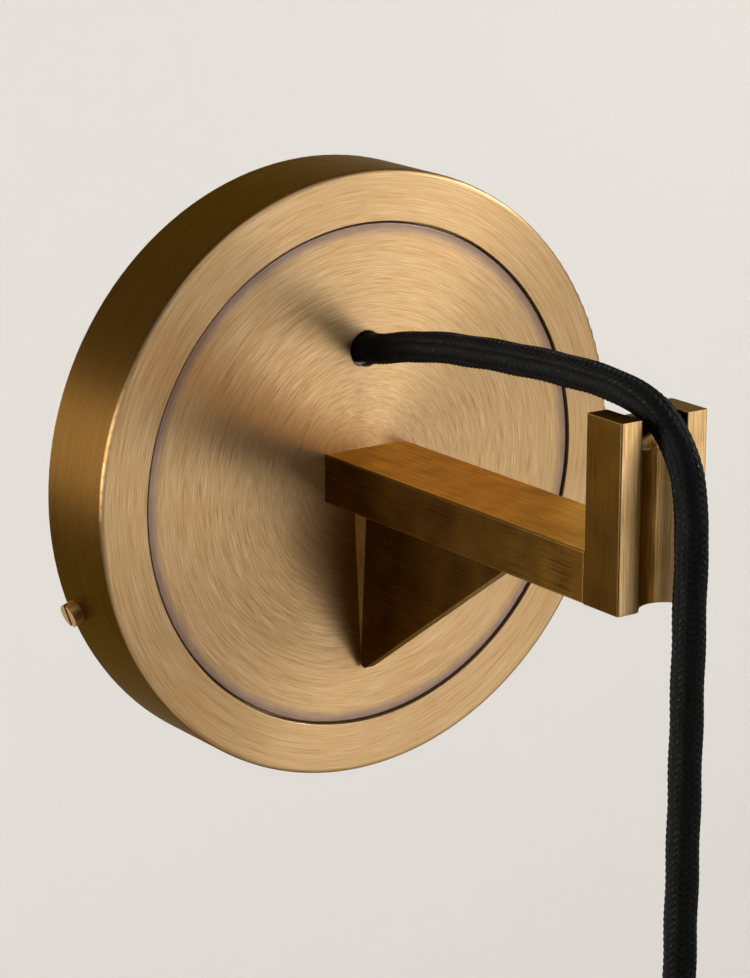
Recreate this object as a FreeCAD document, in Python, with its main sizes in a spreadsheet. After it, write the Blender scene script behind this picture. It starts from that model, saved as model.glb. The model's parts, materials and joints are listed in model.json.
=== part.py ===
import FreeCAD, Part
import math
import os

import Sketcher
from FreeCAD import Placement, Rotation, Vector

# A bedside wall reading lamp. A round brushed brass canopy stands on the wall, a flat bar arm
# reaches out of its face plate and ends in an upright cradle, and a braided cord comes out of
# the face plate, runs over the cradle and carries the lamp head.
#
# Frame: the wall is the plane y = 0, the lamp stands out toward -Y, +X is to the right and +Z is
# up. The origin is the middle of the canopy on the wall. Everything but the wall bracket and the
# fasteners is symmetric about the plane x = 0. Sizes are in millimetres.

doc = FreeCAD.newDocument("wall_reading_lamp")
sheet = doc.addObject("Spreadsheet::Sheet", "sizes")

# Name, size and meaning of every driving dimension.
DRIVING = (
    ("canopy_radius", 62.5, "outer radius of the canopy"),
    ("canopy_depth", 20.0, "wall to the front ring"),
    ("shell_wall", 1.5, "sheet thickness of the canopy"),
    ("edge_round", 1.0, "round of the canopy's front outer edge"),
    ("ring_width", 10.4, "width of the flat front ring"),
    ("ledge_width", 6.5, "width of the ledge that the face plate seats on"),
    ("plate_thick", 2.0, "thickness of the face plate"),
    ("plate_recess", 0.5, "face plate below the front ring"),
    ("plate_gap", 0.4, "radial gap round the face plate"),
    ("plate_bevel", 0.25, "bevel of the face plate's edge and of its cord hole"),
    ("cord_radius", 3.2, "braided cord"),
    ("cord_hole_gap", 0.4, "radial play of the cord in its hole"),
    ("cord_height", 26.2, "cord hole above the middle of the canopy"),
    ("bar_width", 20.0, "width of the arm's flat bar"),
    ("bar_height", 10.0, "height of the arm's flat bar"),
    ("arm_rise", 0.8, "middle of the arm above the middle of the canopy"),
    ("arm_reach", 102.0, "wall to the back of the cradle"),
    ("gusset_thick", 2.0, "plate under the arm"),
    ("gusset_foot", 41.5, "foot of the gusset below the middle of the canopy"),
    ("gusset_run", 53.3, "length of the gusset along the arm"),
    ("gusset_tip", 1.2, "round of the gusset's lower corner"),
    ("fillet_leg", 1.9, "leg of the brazing fillet at the top of the gusset's foot"),
    ("cradle_depth", 10.0, "front to back"),
    ("cradle_rise", 31.6, "top of the horns above the middle of the canopy"),
    ("saddle_rise", 30.0, "crest of the saddle above the middle of the canopy"),
    ("saddle_half", 5.3, "half the gap between the horns, over the saddle"),
    ("saddle_round", 5.0, "round of the saddle's front edge"),
    ("groove_radius", 5.2, "cord groove down the cradle's front"),
    ("groove_offset", 1.9, "axis of the groove in front of the cradle"),
    ("groove_lip", 2.5, "round of the groove's lips"),
    ("sharp_lip", 0.25, "round that is left of the lips at the top of the horns"),
    ("lip_runout", 14.0, "height over which the lips sharpen, below the top of the horns"),
    ("thread_gap", 0.05, "radial play of a thread in its hole"),
    ("slip_gap", 0.3, "radial play of a screw in a plain hole"),
    ("tip_room", 1.0, "holes past the tips of their screws and pins"),
    ("arm_screw_pitch", 10.0, "between the two arm screws"),
    ("arm_screw_reach", 9.0, "arm screw inside the arm"),
    ("screw_radius", 2.0, "M4 thread"),
    ("pan_radius", 4.0, "M4 pan head"),
    ("pan_height", 2.6, "M4 pan head"),
    ("washer_radius", 4.4, "M4 washer"),
    ("washer_thick", 0.8, "M4 washer"),
    ("stud_radius", 1.5, "M3 stud on the back of the face plate"),
    ("stud_length", 6.0, "M3 stud"),
    ("stud_count", 3.0, "studs of the face plate"),
    ("nut_radius", 3.1, "M3 nut over its corners"),
    ("nut_height", 2.4, "M3 nut"),
    ("disc_radius", 3.4, "M3 washer"),
    ("disc_thick", 0.5, "M3 washer"),
    ("pin_radius", 2.0, "stud between arm and cradle"),
    ("pin_length", 12.0, "stud between arm and cradle"),
    ("pin_cradle", 3.6, "stud inside the cradle"),
    ("pin_room", 0.3, "room past each end of the stud"),
    ("strap_thick", 2.0, "steel wall bracket"),
    ("strap_width", 16.0, "wall bracket"),
    ("strap_tilt", 21.0, "wall bracket above the horizontal, right end up"),
    ("ear_gap", 2.6, "outside of the bracket's ears inside the canopy's outer radius"),
    ("ear_width", 12.0, "bent ear of the bracket"),
    ("ear_depth", 9.5, "bent ear, from the wall"),
    ("wall_hole_circle", 60.0, "pitch circle of the two wall screw holes"),
    ("wall_hole_radius", 2.25, "wall screw hole"),
    ("wire_hole_radius", 5.0, "hole for the supply cable"),
    ("tab_drop", 33.0, "terminal tab below the middle of the canopy"),
    ("tab_width", 14.0, "terminal tab"),
    ("tab_offset", 2.0, "top of the terminal tab below the supply cable's hole"),
    ("side_screw_depth", 3.6, "axis of the canopy's side screws from the wall"),
    ("side_screw_radius", 1.5, "M3 side screws"),
    ("side_head_radius", 2.5, "side screw head"),
    ("side_head_height", 2.3, "side screw head"),
    ("side_screw_length", 7.0, "side screw under its head"),
    ("slot_width", 0.9, "screwdriver slots"),
    ("slot_depth", 0.9, "screwdriver slots"),
    ("earth_offset", 16.0, "earth screw from the middle of the bracket"),
    ("lug_radius", 3.8, "earth lug ring"),
    ("lug_thick", 0.8, "earth lug"),
    ("lug_length", 10.0, "earth screw to the end of the lug's barrel"),
    ("lug_barrel", 1.8, "outer radius of the lug's barrel"),
    ("block_width", 17.0, "terminal block"),
    ("block_height", 14.0, "terminal block"),
    ("block_depth", 11.0, "terminal block"),
    ("block_top", 17.0, "top of the terminal block below the middle"),
    ("block_axis", 6.5, "terminal bores from the wall"),
    ("block_bore", 1.5, "terminal bore radius"),
    ("pole_pitch", 9.0, "between the two poles"),
    ("clamp_radius", 1.4, "terminal clamp screws"),
    ("clamp_offset", 4.0, "clamp screws above and below the block's middle"),
    ("block_head_radius", 2.4, "head of the screw that holds the terminal block"),
    ("block_head_height", 1.4, "head of the screw that holds the terminal block"),
    ("core_radius", 0.95, "insulated core"),
    ("core_spread", 1.25, "outer cores from the middle of the cord"),
    ("core_straight", 5.0, "cores from the cord's end to their first bend"),
    ("pole_bend_side", 3.2, "second bend of the two lower cores, from the middle"),
    ("pole_bend_depth", 5.2, "second bend of the two lower cores, from the wall"),
    ("pole_bend_height", 10.0, "second bend of the two lower cores, above the middle"),
    ("pole_bend_low", 8.0, "last bend of the two lower cores, below the middle"),
    ("lug_bend_side", 8.0, "second bend of the earth core, from the middle"),
    ("lug_bend_depth", 4.4, "second bend of the earth core, from the wall"),
    ("lug_bend_height", 28.6, "second bend of the earth core, above the middle"),
    ("lug_bend_low", 25.7, "last bend of the earth core, above the middle"),
    ("tail_straight", 2.5, "head's cores straight out of the cord"),
    ("tail_spread", 6.0, "head's cores from the cord's end to their last bend"),
    ("stop_radius", 6.5, "nylon cord stop behind the face plate"),
    ("stop_length", 6.0, "nylon cord stop"),
    ("stop_gap", 0.1, "radial play of the cord in the stop"),
    ("grub_radius", 1.5, "M3 grub screws"),
    ("sheath_end", 11.0, "cord's braid ends inside the canopy, from the wall"),
    ("drop_depth", 120.0, "hanging cord from the wall"),
    ("swing_height", 10.0, "upper bending point of the hanging cord"),
    ("sway_height", 4.0, "lower bending point of the hanging cord"),
    ("flex_gap", 0.15, "between the ball end of one stretch of cord and the hollow end of the next"),
    ("head_drop", 80.0, "top of the head's cord grip below the middle"),
    ("grip_radius", 6.5, "cord grip on the head"),
    ("grip_length", 12.0, "cord grip above the cap"),
    ("grip_tail_radius", 4.9, "threaded tail of the grip"),
    ("grip_tail", 9.0, "threaded tail of the grip"),
    ("grip_gap", 0.15, "radial play of the cord in the grip"),
    ("cord_tail", 3.0, "cord past the grip's threaded tail"),
    ("cap_thick", 3.0, "cap's flange"),
    ("spigot_length", 10.0, "cap's spigot inside the shade"),
    ("spigot_wall", 2.4, "cap's spigot"),
    ("shade_wall", 1.5, "shade tube"),
    ("shade_length", 95.0, "shade tube"),
    ("shade_fit", 0.1, "radial play of the spigot in the shade"),
    ("shade_screw_drop", 5.0, "shade screws below the cap's flange"),
    ("grub_sink", 0.2, "shade screws below the surfaces at their ends"),
    ("grip_nut_radius", 8.0, "nut of the grip over its corners"),
    ("grip_nut_height", 3.0, "nut of the grip"),
    ("post_radius", 3.5, "posts under the cap"),
    ("post_length", 17.0, "posts under the cap"),
    ("post_offset", 13.0, "posts from the head's axis"),
    ("holder_radius", 17.5, "ceramic lampholder"),
    ("holder_height", 13.0, "ceramic lampholder"),
    ("holder_screw", 1.5, "M3 lampholder screws"),
    ("holder_screw_reach", 8.0, "lampholder screw inside its post"),
    ("holder_sink", 2.2, "depth of the lampholder's screw sinks"),
    ("holder_head", 2.0, "height of the lampholder screws' heads"),
    ("contact_radius", 2.4, "lamp pins"),
    ("contact_offset", 5.0, "lamp pins from the axis"),
    ("contact_length", 8.0, "lamp pins"),
    ("lamp_neck", 15.0, "radius of the lamp's neck"),
    ("lamp_radius", 25.0, "radius of the lamp's rim"),
    ("lamp_room", 1.5, "radial play of the lamp's rim in the shade"),
    ("neck_length", 10.0, "lamp neck"),
    ("cone_length", 30.0, "lamp cone"),
    ("rim_length", 8.0, "lamp rim"),
    ("lens_rim", 2.0, "width of the lamp's rim round its lens"),
    ("lens_thick", 2.0, "lamp lens"),
    ("lens_inset", 1.0, "lens above the lamp's rim"),
    ("face_ring_length", 5.0, "brass retaining ring in the shade"),
    ("face_ring_lap", 3.0, "retaining ring under the lamp's rim"),
    ("face_gap", 0.1, "between the lamp's rim and its retaining ring"),
)


def fill_sheet():
    """One row per driving dimension: its size, under its own name, and its meaning."""
    for row, (name, value, meaning) in enumerate(DRIVING, start=1):
        sheet.set(f"A{row}", str(value))
        sheet.setAlias(f"A{row}", name)
        sheet.set(f"B{row}", meaning)
    doc.recompute()


fill_sheet()


def size(name):
    """A driving dimension as a number, for shapes that no primitive or sketch can make."""
    return float(sheet.get(name))


def tied(text):
    """An expression over the sheet's names, written without their prefix."""
    words = []
    word = ""
    for letter in text + " ":
        if letter.isalnum() or letter == "_":
            word += letter
        else:
            words.append("sizes." + word if word in NAMES else word)
            words.append(letter)
            word = ""
    return "".join(words).strip()


NAMES = {row[0] for row in DRIVING}

# Turns that lay a primitive's own Z axis along a direction of the lamp.
OUTWARD = Rotation(Vector(1, 0, 0), 90)
INWARD = Rotation(Vector(1, 0, 0), -90)
UPWARD = Rotation()
DOWNWARD = Rotation(Vector(1, 0, 0), 180)
RIGHTWARD = Rotation(Vector(0, 1, 0), 90)


def place(thing, at, turn=UPWARD):
    """Sets a thing's turn and ties its position to the sheet."""
    thing.Placement = Placement(Vector(0, 0, 0), turn)
    for axis, text in zip("xyz", at):
        thing.setExpression(f"Placement.Base.{axis}", tied(text))
    return thing


def cylinder(name, radius, length, at, turn=UPWARD):
    thing = doc.addObject("Part::Cylinder", name)
    thing.setExpression("Radius", tied(radius))
    thing.setExpression("Height", tied(length))
    return place(thing, at, turn)


def block(name, length, width, height, at):
    thing = doc.addObject("Part::Box", name)
    thing.setExpression("Length", tied(length))
    thing.setExpression("Width", tied(width))
    thing.setExpression("Height", tied(height))
    return place(thing, at)


def hexagon(name, radius, length, at, turn=UPWARD):
    thing = doc.addObject("Part::Prism", name)
    thing.Polygon = 6
    thing.setExpression("Circumradius", tied(radius))
    thing.setExpression("Height", tied(length))
    return place(thing, at, turn)


def joined(name, things):
    thing = doc.addObject("Part::MultiFuse", name)
    thing.Shapes = things
    thing.Refine = True
    return thing


def cut(name, base, tools):
    thing = doc.addObject("Part::Cut", name)
    thing.Base = base
    thing.Tool = tools[0] if len(tools) == 1 else joined(name + "_tools", tools)
    thing.Refine = True
    return thing


def together(name, things):
    """Several like pieces that share one node as separate solids."""
    thing = doc.addObject("Part::Compound", name)
    thing.Links = things
    return thing


def around(things, axis, angle):
    """Turns things about an axis of the lamp through the origin, by an expression in degrees."""
    for thing in things:
        thing.Placement = Placement(Vector(0, 0, 0), Rotation(axis, 1))
        thing.setExpression("Placement.Rotation.Angle", tied(angle))
    return things


def new_body(name):
    return doc.addObject("PartDesign::Body", name)


def origin_plane(body, role):
    return next(plane for plane in body.Origin.OriginFeatures if plane.Role == role)


def drawn(body, name, role):
    sketch = body.newObject("Sketcher::SketchObject", name)
    sketch.AttachmentSupport = [(origin_plane(body, role), "")]
    sketch.MapMode = "FlatFace"
    return sketch


def outline(sketch, corners):
    """A closed outline of straight lines. Each corner is a pair of expressions, and each point
    is held by its two distances from the sketch's origin."""
    values = [(number(a), number(b)) for a, b in corners]
    points = [Vector(a, b, 0) for a, b in values]
    for here, there in zip(points, points[1:] + points[:1]):
        sketch.addGeometry(Part.LineSegment(here, there), False)
    count = len(corners)
    for k in range(count):
        sketch.addConstraint(Sketcher.Constraint("Coincident", k, 2, (k + 1) % count, 1))
    for k, pair in enumerate(corners):
        for kind, text, value in zip(("DistanceX", "DistanceY"), pair, values[k]):
            index = sketch.addConstraint(Sketcher.Constraint(kind, -1, 1, k, 1, value))
            sketch.setExpression(f"Constraints[{index}]", tied(text))


def number(text):
    """The value of an expression over the sheet's names."""
    probe = doc.addObject("App::FeaturePython", "probe")
    probe.addProperty("App::PropertyFloat", "Value")
    probe.setExpression("Value", tied(text))
    doc.recompute([probe])
    value = probe.Value
    doc.removeObject(probe.Name)
    return value


def revolved(name, role, corners, axis, at=("0", "0", "0")):
    """A solid of revolution. On the YZ plane H_Axis is the lamp's Y, on the XZ plane V_Axis is Z."""
    body = new_body(name)
    sketch = drawn(body, name + "_profile", role)
    outline(sketch, corners)
    turn = body.newObject("PartDesign::Revolution", name + "_turn")
    turn.Profile = sketch
    turn.ReferenceAxis = (sketch, [axis])
    turn.Angle = 360
    return place(body, at)


def padded(name, role, corners, length, at=("0", "0", "0"), side="Symmetric"):
    """A flat outline given a thickness. On the YZ plane it grows along X, on the XZ plane along -Y."""
    body = new_body(name)
    sketch = drawn(body, name + "_outline", role)
    outline(sketch, corners)
    pad = body.newObject("PartDesign::Pad", name + "_pad")
    pad.Profile = sketch
    pad.SideType = side
    pad.setExpression("Length", tied(length))
    return place(body, at)


def eased(name, base, kind, radius, wanted):
    """Rounds (Part::Fillet) or bevels (Part::Chamfer) the edges of a thing that wanted() accepts."""
    doc.recompute()
    thing = doc.addObject(kind, name)
    thing.Base = base
    thing.Edges = [(index, radius, radius)
                   for index, edge in enumerate(base.Shape.Edges, start=1) if wanted(edge)]
    return thing


def shaped(name, shape, at=Placement()):
    """A piece whose shape is computed here from the sheet's sizes."""
    thing = doc.addObject("Part::Feature", name)
    thing.Shape = shape
    thing.Placement = at
    return thing


def near(a, b):
    return abs(a - b) < 1e-4


# Planes that several pieces share, as expressions.
PLATE_FRONT = "(canopy_depth - plate_recess)"
PLATE_BACK = "(canopy_depth - plate_recess - plate_thick)"
LEDGE_BACK = "(canopy_depth - plate_recess - plate_thick - shell_wall)"
RING_BORE = "(canopy_radius - ring_width)"
LEDGE_BORE = "(canopy_radius - ring_width - ledge_width)"
ARM_BOTTOM = "(arm_rise - bar_height / 2)"
ARM_TOP = "(arm_rise + bar_height / 2)"
CRADLE_FRONT = "(arm_reach + cradle_depth)"
HEAD_TOP = "(head_drop + grip_length)"
SHADE_BORE = "(lamp_radius + lamp_room)"
HEAD_RADIUS = "(" + SHADE_BORE + " + shade_wall)"
SPIGOT_RADIUS = "(" + SHADE_BORE + " - shade_fit)"
LENS_RADIUS = "(lamp_radius - lens_rim)"
POST_END = "(" + HEAD_TOP + " + cap_thick + post_length)"
NECK_TOP = "(" + POST_END + " + holder_height)"
RIM_BOTTOM = "(" + NECK_TOP + " + neck_length + cone_length + rim_length)"
HEAD_AXIS = ("0", "-drop_depth", "0")
nodes = []


def keep(name, thing):
    """Gives a finished sub-part the name of its node and file."""
    thing.Label = name
    nodes.append(thing)
    return thing


def side_screw_places():
    """The two side screws lie opposite each other along the bracket."""
    return (("right", "1", RIGHTWARD), ("left", "-1", Rotation(Vector(0, 1, 0), -90)))


def canopy_shell():
    """Pressed brass pan: side wall, flat front ring and a joggled ledge for the face plate."""
    pan = revolved("canopy_pan", "YZ_Plane", [
        ("0", "canopy_radius"),
        ("-canopy_depth", "canopy_radius"),
        ("-canopy_depth", RING_BORE),
        ("-" + PLATE_BACK, RING_BORE),
        ("-" + PLATE_BACK, LEDGE_BORE),
        ("-" + LEDGE_BACK, LEDGE_BORE),
        ("-" + LEDGE_BACK, RING_BORE + " + shell_wall"),
        ("-canopy_depth + shell_wall", RING_BORE + " + shell_wall"),
        ("-canopy_depth + shell_wall", "canopy_radius - shell_wall"),
        ("0", "canopy_radius - shell_wall"),
    ], "H_Axis")
    depth = size("canopy_depth")
    outer = size("canopy_radius")
    pan = eased("canopy_rolled", pan, "Part::Fillet", size("edge_round"),
                lambda edge: near(edge.BoundBox.YMin, -depth) and near(edge.BoundBox.YMax, -depth)
                and near(edge.BoundBox.XLength, 2 * outer))
    holes = [cylinder("side_hole_" + side, "side_screw_radius + slip_gap", "3 * shell_wall",
                      (sign + " * (canopy_radius - 2 * shell_wall)", "-side_screw_depth", "0"), turn)
             for side, sign, turn in side_screw_places()]
    bores = together("side_holes", holes)
    around([bores], Vector(0, 1, 0), "-strap_tilt")
    stud_holes = together("stud_holes", [
        cylinder(f"stud_hole_{k}", "stud_radius + slip_gap", "3 * shell_wall",
                 stud_place(k, "-" + PLATE_BACK + " - shell_wall / 2"), INWARD)
        for k in range(int(size("stud_count")))])
    return keep("canopy_shell", cut("canopy_drilled", pan, [bores, stud_holes]))


def stud_place(k, depth):
    """Place of one of the face plate's studs, in the middle of the ledge."""
    reach = "(" + RING_BORE + " - ledge_width / 2)"
    angle = f"({k} * 360 / stud_count + 90 / stud_count)"
    return (f"{reach} * cos{angle}", depth, f"{reach} * sin{angle}")


def face_plate():
    """Brass disc, set into the front ring, with the cord's hole and the arm's two screw holes."""
    disc = cylinder("plate_disc", RING_BORE + " - plate_gap", "plate_thick",
                    ("0", "-" + PLATE_BACK, "0"), OUTWARD)
    cord_hole = cylinder("cord_hole", "cord_radius + cord_hole_gap", "2 * plate_thick",
                         ("0", "-" + PLATE_BACK + " + plate_thick / 2", "cord_height"), OUTWARD)
    screw_holes = [cylinder("arm_hole_" + side, "screw_radius + slip_gap", "2 * plate_thick",
                            (sign + " * arm_screw_pitch / 2", "-" + PLATE_BACK + " + plate_thick / 2",
                             "arm_rise"), OUTWARD)
                   for side, sign in (("right", "1"), ("left", "-1"))]
    disc = cut("plate_drilled", disc, [cord_hole] + screw_holes)
    front = -number(PLATE_FRONT)
    arm_hole = 2 * (size("screw_radius") + size("slip_gap"))
    return keep("face_plate", eased(
        "plate_bevelled", disc, "Part::Chamfer", size("plate_bevel"),
        lambda edge: near(edge.BoundBox.YMin, front) and near(edge.BoundBox.YMax, front)
        and not near(edge.BoundBox.XLength, arm_hole)))


def plate_fasteners():
    """Three studs brazed to the face plate's back, each with a washer and a nut behind the ledge."""
    studs, washers, nuts = [], [], []
    for k in range(int(size("stud_count"))):
        studs.append(cylinder(f"stud_{k}", "stud_radius", "stud_length",
                              stud_place(k, "-" + PLATE_BACK), INWARD))
        washer = cylinder(f"disc_{k}", "disc_radius", "disc_thick",
                          stud_place(k, "-" + LEDGE_BACK), INWARD)
        bore = cylinder(f"disc_bore_{k}", "stud_radius + slip_gap", "3 * disc_thick",
                        stud_place(k, "-" + LEDGE_BACK + " - disc_thick"), INWARD)
        washers.append(cut(f"disc_ring_{k}", washer, [bore]))
        nut = hexagon(f"nut_{k}", "nut_radius", "nut_height",
                      stud_place(k, "-" + LEDGE_BACK + " + disc_thick"), INWARD)
        thread = cylinder(f"nut_thread_{k}", "stud_radius + thread_gap", "3 * nut_height",
                          stud_place(k, "-" + LEDGE_BACK + " - nut_height"), INWARD)
        nuts.append(cut(f"nut_tapped_{k}", nut, [thread]))
    keep("face_plate_studs", together("plate_studs", studs))
    keep("face_plate_washers", together("plate_discs", washers))
    keep("face_plate_nuts", together("plate_nuts", nuts))


def wall_bracket():
    """Steel strap against the wall with two ears, bent forward and tapped for the side screws."""
    half = "(canopy_radius - ear_gap)"
    strap = block("strap", "2 * " + half, "strap_thick", "strap_width",
                  ("-" + half, "-strap_thick", "-strap_width / 2"))
    strap_ends = [block("strap_end_" + side, "ear_depth", "3 * strap_thick", "strap_width",
                        (x, "-2 * strap_thick", z))
                  for side, x, z in (("right_top", half + " - ear_depth", "ear_width / 2"),
                                     ("right_low", half + " - ear_depth", "-ear_width / 2 - strap_width"),
                                     ("left_top", "-" + half, "ear_width / 2"),
                                     ("left_low", "-" + half, "-ear_width / 2 - strap_width"))]
    ears = [block("ear_" + side, "strap_thick", "ear_depth - strap_thick", "ear_width",
                  (x, "-ear_depth", "-ear_width / 2"))
            for side, x in (("right", half + " - strap_thick"), ("left", "-" + half))]
    narrowed = cut("strap_narrowed", strap, strap_ends)
    bent = joined("strap_bent", [narrowed] + ears)
    taps = [cylinder("ear_tap_" + side, "side_screw_radius + thread_gap", "3 * strap_thick",
                     (sign + " * (canopy_radius - ear_gap - 2 * strap_thick)", "-side_screw_depth", "0"),
                     turn)
            for side, sign, turn in side_screw_places()]
    wall_holes = [cylinder("wall_hole_" + side, "wall_hole_radius", "3 * strap_thick",
                           (sign + " * wall_hole_circle / 2", "strap_thick", "0"), OUTWARD)
                  for side, sign in (("right", "1"), ("left", "-1"))]
    centre_hole = cylinder("wire_hole", "wire_hole_radius", "3 * strap_thick", ("0", "strap_thick", "0"),
                           OUTWARD)
    earth_tap = cylinder("earth_tap", "screw_radius + thread_gap", "3 * strap_thick",
                         ("earth_offset", "strap_thick", "0"), OUTWARD)
    drilled = cut("strap_drilled", bent, taps + wall_holes + [centre_hole, earth_tap])
    around([drilled], Vector(0, 1, 0), "-strap_tilt")
    tab = block("terminal_tab", "tab_width", "strap_thick", "tab_drop - wire_hole_radius - tab_offset",
                ("-tab_width / 2", "-strap_thick", "-tab_drop"))
    tab_tap = cylinder("tab_tap", "clamp_radius + thread_gap", "3 * strap_thick",
                       ("0", "strap_thick", "-block_top - block_height / 2"), OUTWARD)
    bracket = joined("bracket_welded", [drilled, tab])
    return keep("wall_bracket", cut("bracket", bracket, [tab_tap]))


def slotted_screw(name, at, turn, radius, length, head_radius, head_height):
    """A slotted screw whose head's seat is at the given place, its shank along the turn's axis."""
    shank = cylinder(name + "_shank", radius, length, ("0", "0", "0"))
    head = cylinder(name + "_head", head_radius, head_height, ("0", "0", "-" + head_height))
    slot = block(name + "_slot", "3 * " + head_radius, "slot_width", "2 * slot_depth",
                 ("-1.5 * " + head_radius, "-slot_width / 2", "-" + head_height + " - slot_depth"))
    screw = cut(name, joined(name + "_blank", [shank, head]), [slot])
    return place(screw, at, turn)


def bracket_fasteners():
    """The canopy's two side screws, and the earth screw with its lug."""
    screws = [slotted_screw("side_screw_" + side,
                            (sign + " * canopy_radius", "-side_screw_depth", "0"), turn,
                            "side_screw_radius", "side_screw_length", "side_head_radius",
                            "side_head_height")
              for side, sign, turn in (("right", "1", Rotation(Vector(0, 1, 0), -90)),
                                       ("left", "-1", RIGHTWARD))]
    pair = together("side_screws", screws)
    around([pair], Vector(0, 1, 0), "-strap_tilt")
    keep("canopy_side_screws", pair)

    x, z = "(earth_offset * cos(strap_tilt))", "(earth_offset * sin(strap_tilt))"
    keep("earth_screw", slotted_screw("earth_screw_m4", (x, "-strap_thick - lug_thick", z), INWARD,
                                      "screw_radius", "(strap_thick + lug_thick)", "pan_radius",
                                      "pan_height"))
    ring = cylinder("lug_ring", "lug_radius", "lug_thick", (x, "-strap_thick", z), OUTWARD)
    neck = block("lug_neck", "2 * lug_barrel", "lug_thick", "lug_length",
                 (x + " - lug_barrel", "-strap_thick - lug_thick", z))
    barrel = cylinder("lug_tube", "lug_barrel", "lug_length - lug_radius",
                      (x, "-strap_thick - lug_barrel", z + " + lug_radius + slip_gap"), UPWARD)
    eye = cylinder("lug_eye", "screw_radius + slip_gap", "4 * lug_thick", (x, "0", z), OUTWARD)
    crimp = cylinder("lug_bore", "core_radius + thread_gap", "lug_length",
                     (x, "-strap_thick - lug_barrel", z + " + lug_radius + 3 * lug_thick"), UPWARD)
    pan = cylinder("lug_head_room", "pan_radius + slip_gap", "3 * lug_barrel",
                   (x, "-strap_thick - lug_thick", z), OUTWARD)
    keep("earth_lug", cut("lug", joined("lug_blank", [ring, neck, barrel]), [eye, crimp, pan]))


def terminal_block():
    """Two-pole terminal block, screwed to the bracket's tab, with its clamp screws."""
    top = "-block_top"
    back = "-strap_thick"
    body = block("terminal_body", "block_width", "block_depth", "block_height",
                 ("-block_width / 2", back + " - block_depth", top + " - block_height"))
    bores, clamp_bores, clamps = [], [], []
    for side, sign in (("right", "1"), ("left", "-1")):
        x = sign + " * pole_pitch / 2"
        bores.append(cylinder("pole_bore_" + side, "block_bore", "2 * block_height",
                              (x, "-block_axis", top + " - 1.5 * block_height")))
        for level, step in (("top", "1"), ("low", "-1")):
            z = top + " - block_height / 2 + " + step + " * clamp_offset"
            name = side + "_" + level
            clamp_bores.append(cylinder("clamp_bore_" + name, "clamp_radius + thread_gap",
                                        "block_depth", (x, "-block_axis", z), OUTWARD))
            clamp = cylinder("clamp_blank_" + name, "clamp_radius",
                             "strap_thick + block_depth - block_axis - block_bore",
                             (x, "-block_axis - block_bore + thread_gap", z), OUTWARD)
            slot = block("clamp_slot_" + name, "4 * clamp_radius", "2 * slot_depth", "slot_width",
                         (x + " - 2 * clamp_radius", back + " - block_depth - slot_depth",
                          z + " - slot_width / 2"))
            clamps.append(cut("clamp_" + name, clamp, [slot]))
    middle = top + " - block_height / 2"
    screw_bore = cylinder("block_screw_bore", "clamp_radius + slip_gap", "3 * block_depth",
                          ("0", "block_depth", middle), OUTWARD)
    keep("terminal_block", cut("terminal_drilled", body, bores + clamp_bores + [screw_bore]))
    keep("terminal_clamp_screws", together("terminal_clamps", clamps))
    keep("terminal_block_screw",
         slotted_screw("block_screw", ("0", back + " - block_depth", middle), INWARD, "clamp_radius",
                       "(block_depth + strap_thick)", "block_head_radius", "block_head_height"))


def arm():
    """Flat bar, screwed to the face plate from behind, brazed and pinned to the cradle."""
    bar = block("arm_bar", "bar_width", "arm_reach - " + PLATE_FRONT, "bar_height",
                ("-bar_width / 2", "-arm_reach", ARM_BOTTOM))
    taps = [cylinder("arm_tap_" + side, "screw_radius + thread_gap", "arm_screw_reach + tip_room",
                     (sign + " * arm_screw_pitch / 2", "-" + PLATE_FRONT, "arm_rise"), OUTWARD)
            for side, sign in (("right", "1"), ("left", "-1"))]
    pin_hole = cylinder("arm_pin_hole", "pin_radius + thread_gap", "pin_length - pin_cradle + pin_room",
                        ("0", "-arm_reach", "arm_rise"), INWARD)
    bar = cut("arm_drilled", bar, taps + [pin_hole])
    half_width, low, high = size("bar_width") / 2, number(ARM_BOTTOM), number(ARM_TOP)

    def long_edge(edge):
        box = edge.BoundBox
        return (box.YLength > size("arm_reach") / 2 and near(abs(box.XMin), half_width)
                and (near(box.ZMin, low) or near(box.ZMin, high)))
    keep("arm", eased("arm_softened", bar, "Part::Chamfer", size("plate_bevel"), long_edge))


def arm_fasteners():
    """Two pan-head screws with washers behind the face plate, and the stud inside the arm's tip."""
    screws, washers = [], []
    for side, sign in (("right", "1"), ("left", "-1")):
        x = sign + " * arm_screw_pitch / 2"
        washer = cylinder("arm_disc_" + side, "washer_radius", "washer_thick",
                          (x, "-" + PLATE_BACK, "arm_rise"), INWARD)
        bore = cylinder("arm_disc_bore_" + side, "screw_radius + slip_gap", "3 * washer_thick",
                        (x, "-" + PLATE_BACK + " - washer_thick", "arm_rise"), INWARD)
        washers.append(cut("arm_washer_" + side, washer, [bore]))
        screws.append(slotted_screw("arm_screw_" + side,
                                    (x, "-" + PLATE_BACK + " + washer_thick", "arm_rise"), OUTWARD,
                                    "screw_radius", "(washer_thick + plate_thick + arm_screw_reach)",
                                    "pan_radius", "pan_height"))
    keep("arm_screws", together("arm_screw_pair", screws))
    keep("arm_washers", together("arm_washer_pair", washers))
    keep("cradle_stud", cylinder("cradle_pin", "pin_radius", "pin_length",
                                 ("0", "-arm_reach - pin_cradle", "arm_rise"), INWARD))


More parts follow.
